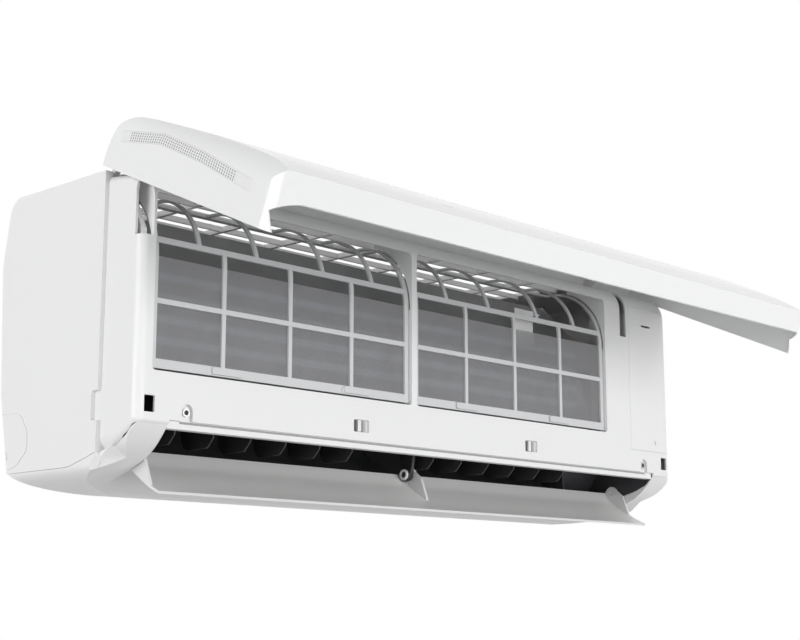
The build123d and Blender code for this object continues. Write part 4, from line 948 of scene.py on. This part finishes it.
def turned(profile: Sequence[Spot], steps: int = 40) -> bmesh.types.BMesh:
    """Closed profile turned round the X axis.

    Args:
        profile: Corners as place along X and radius.
        steps: Facets round the turn.

    Returns:
        The mesh.
    """
    mesh = bmesh.new()
    rings = []
    for step in range(steps):
        turn = math.tau * step / steps
        across, up = math.cos(turn), math.sin(turn)
        rings.append([mesh.verts.new((x, radius * across, radius * up)) for x, radius in profile])
    for ring, following in zip(rings, rings[1:] + rings[:1]):
        bridge(mesh, ring, following)
    return mesh


@dataclass(frozen=True)
class Slab:
    """Plate with cut corners, set back from the casing's front and given around its place."""

    span: Span
    height: Span
    depth: float
    corner: float
    back: float
    finish: Finish
    eased: float = 0.4

    def mesh(self) -> bmesh.types.BMesh:
        """Build the plate. Its eased edge takes a share of the cut corner.

        Returns:
            The mesh.
        """
        (left, right), (low, high) = self.span, self.height
        corners = [(left, low), (right, low), (right, high), (left, high)]
        return plate(cut_corners(corners, self.corner), self.depth, self.corner * self.eased)


@dataclass
class Fitting:
    """Small pieces that the solids leave out, each carried by a body of the frame."""

    palette: Palette

    def add(
        self,
        name: str,
        mesh: bmesh.types.BMesh,
        place: Point,
        finish: Finish,
        body: str = "chassis",
    ) -> str:
        """Put a finished mesh in place on its body.

        Args:
            name: The piece's name.
            mesh: Its mesh around its own origin, used up here.
            place: Where its origin goes.
            finish: Its finish.
            body: The body that carries it.

        Returns:
            The piece's name.
        """
        bmesh.ops.recalc_face_normals(mesh, faces=mesh.faces)
        data = bpy.data.meshes.new(name)
        mesh.to_mesh(data)
        mesh.free()
        data.materials.append(self.palette.get(finish))
        piece = bpy.data.objects.new(name, data)
        bpy.context.scene.collection.objects.link(piece)
        piece.location = place
        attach(piece, body)
        return name

    def add_slab(self, name: str, slab: Slab, x: float, z: float, body: str = "chassis") -> str:
        """Put a slab in place on its body.

        Args:
            name: The piece's name.
            slab: Its shape and finish.
            x: Its place along X.
            z: Its place along Z.
            body: The body that carries it.

        Returns:
            The piece's name.
        """
        return self.add(name, slab.mesh(), (x, FRONT + slab.back, z), slab.finish, body)


@dataclass
class LatchWindows(Fitting):
    """Slot, rib and ramp inside each of the two inner latch windows. The slot is a dark plate of
    painted shade, and the ramp is coloured with painted shade.
    """

    middle: float = 0.1385
    height: float = -0.0855
    # dark plate of painted shade in the slot's depth
    slot: Slab = Slab(
        span=(-0.0106, -0.0048),
        height=(-0.0060, 0.0060),
        depth=0.0003,
        corner=0.0005,
        back=0.0060,
        finish=PAINTED_SHADE,
    )
    rib: Slab = Slab(
        span=(-0.0050, -0.0004),
        height=(-0.0061, 0.0061),
        depth=0.0024,
        corner=0.0006,
        back=0.0001,
        finish=SHELL,
    )
    ramp: Slab = Slab(
        span=(0.0, 0.0108),
        height=(-0.0061, 0.0061),
        depth=0.0004,
        corner=0.0005,
        back=0.0021,
        finish=RAMP_SHADE,
    )

    def build(self) -> list[str]:
        """Fill both windows.

        Returns:
            The names of the pieces.
        """
        slabs = (("slot", self.slot), ("rib", self.rib), ("ramp", self.ramp))
        return [
            self.add_slab(
                f"window_{part}_{side.label()}", slab, side.value * self.middle, self.height
            )
            for side in Side
            for part, slab in slabs
        ]


@dataclass
class ScrewRecesses(Fitting):
    """Dark disc of painted shade in the head of each casing screw, standing for its driver recess.
    """

    middle: float = 0.3643
    height: float = -0.0926
    radius: float = 0.0024
    depth: float = 0.0006
    edge: float = 0.0002
    back: float = 0.0012
    points: int = 20

    def build(self) -> list[str]:
        """Lay both discs of painted shade.

        Returns:
            The names of the pieces.
        """
        turns = [math.tau * point / self.points for point in range(self.points)]
        ring = [(self.radius * math.cos(turn), self.radius * math.sin(turn)) for turn in turns]
        names = []
        for side in Side:
            place = (side.value * self.middle, FRONT + self.back, self.height)
            mesh = plate(ring, self.depth, self.edge)
            # each disc is painted shade in the screw's recess
            names.append(self.add(f"screw_recess_shade_{side.label()}", mesh, place, PAINTED_SHADE))
        return names


@dataclass
class CoilCard(Fitting):
    """White card that stands before the coil's upper bend."""

    outline: tuple[Spot, ...] = (
        (0.151, 0.044),
        (0.187, 0.0465),
        (0.187, 0.056),
        (0.184, 0.056),
        (0.184, 0.0815),
        (0.199, 0.0835),
        (0.186, 0.0865),
        (0.1500, 0.0868),
    )
    face: float = -0.2032
    depth: float = 0.0008
    edge: float = 0.0001

    def build(self) -> list[str]:
        """Stand the card up and return its name."""
        mesh = plate(self.outline, self.depth, self.edge)
        return [self.add("coil_card", mesh, (0.0, self.face, 0.0), CARD)]


@dataclass
class CentreBearing(Fitting):
    """White collar, bore darkened with painted shade, and black drum of the flap's middle bearing.

    Each profile is given as places along X and radii about the flap's axis.
    """

    axis: Point = (0.0, -0.170, -0.124)
    collar: tuple[Spot, ...] = (
        (-0.0098, 0.0036),
        (-0.0101, 0.0042),
        (-0.0101, 0.0056),
        (-0.0096, 0.0061),
        (-0.0080, 0.0061),
        (-0.0080, 0.0036),
    )
    bore: tuple[Spot, ...] = (
        (-0.0092, 0.0001),
        (-0.0092, 0.0035),
        (-0.0081, 0.0035),
        (-0.0081, 0.0001),
    )
    drum: tuple[Spot, ...] = (
        (-0.0079, 0.0052),
        (-0.0079, 0.0070),
        (-0.0073, 0.0076),
        (-0.0052, 0.0076),
        (-0.0052, 0.0052),
    )

    def build(self) -> list[str]:
        """Turn the three pieces of the bearing.

        Returns:
            The names of the pieces.
        """
        return [
            self.add("bearing_collar", turned(self.collar), self.axis, CARD),
            # the bore's dark colour is painted shade
            self.add("bearing_bore_shade", turned(self.bore), self.axis, PAINTED_SHADE),
            self.add("bearing_drum", turned(self.drum), self.axis, LINK),
        ]


@dataclass
class OutletGroove(Fitting):
    """Grey strip of painted shadow in the step between the casing's front and the bar over the
    outlet.
    """

    # grey plate of painted shadow
    groove: Slab = Slab(
        span=(-0.3705, 0.3705),
        height=(-0.1035, -0.1013),
        depth=0.0003,
        corner=0.0003,
        back=0.00375,
        finish=GROOVE_SHADOW,
    )

    def build(self) -> list[str]:
        """Lay the strip of painted shadow and return its name."""
        return [self.add_slab("outlet_groove_shadow", self.groove, 0.0, 0.0)]


@dataclass
class FilterTabs(Fitting):
    """Finger tabs along the feet of both filters."""

    height: float = -0.0488
    tab: Slab = Slab(
        span=(-0.019, 0.019),
        height=(-0.0035, 0.0035),
        depth=0.0009,
        corner=0.0015,
        back=0.0026,
        finish=FRAME,
    )
    places: tuple[tuple[str, Span], ...] = (
        ("filter_left", (-0.315, -0.142)),
        ("filter_right", (0.031, 0.197)),
    )

    def build(self) -> list[str]:
        """Put two tabs on each filter.

        Returns:
            The names of the pieces.
        """
        return [
            self.add_slab(f"{body}_tab_{number}", self.tab, x, self.height, body)
            for body, middles in self.places
            for number, x in enumerate(middles, start=1)
        ]


def main(model: dict[str, object]) -> None:
    """Build the unit's looks and report each piece.

    Args:
        model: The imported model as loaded.
    """
    palette = Palette()
    builders = (
        Studio(),
        SolidPieces(model, palette),
        LatchWindows(palette),
        ScrewRecesses(palette),
        CoilCard(palette),
        CentreBearing(palette),
        OutletGroove(palette),
        FilterTabs(palette),
    )
    for builder in builders:
        for name in builder.build():
            LOG.info("%s: %s", type(builder).__name__, name)


if __name__ == "__main__":
    logging.basicConfig(level=logging.INFO, format="%(name)s %(message)s")
    main(frame)
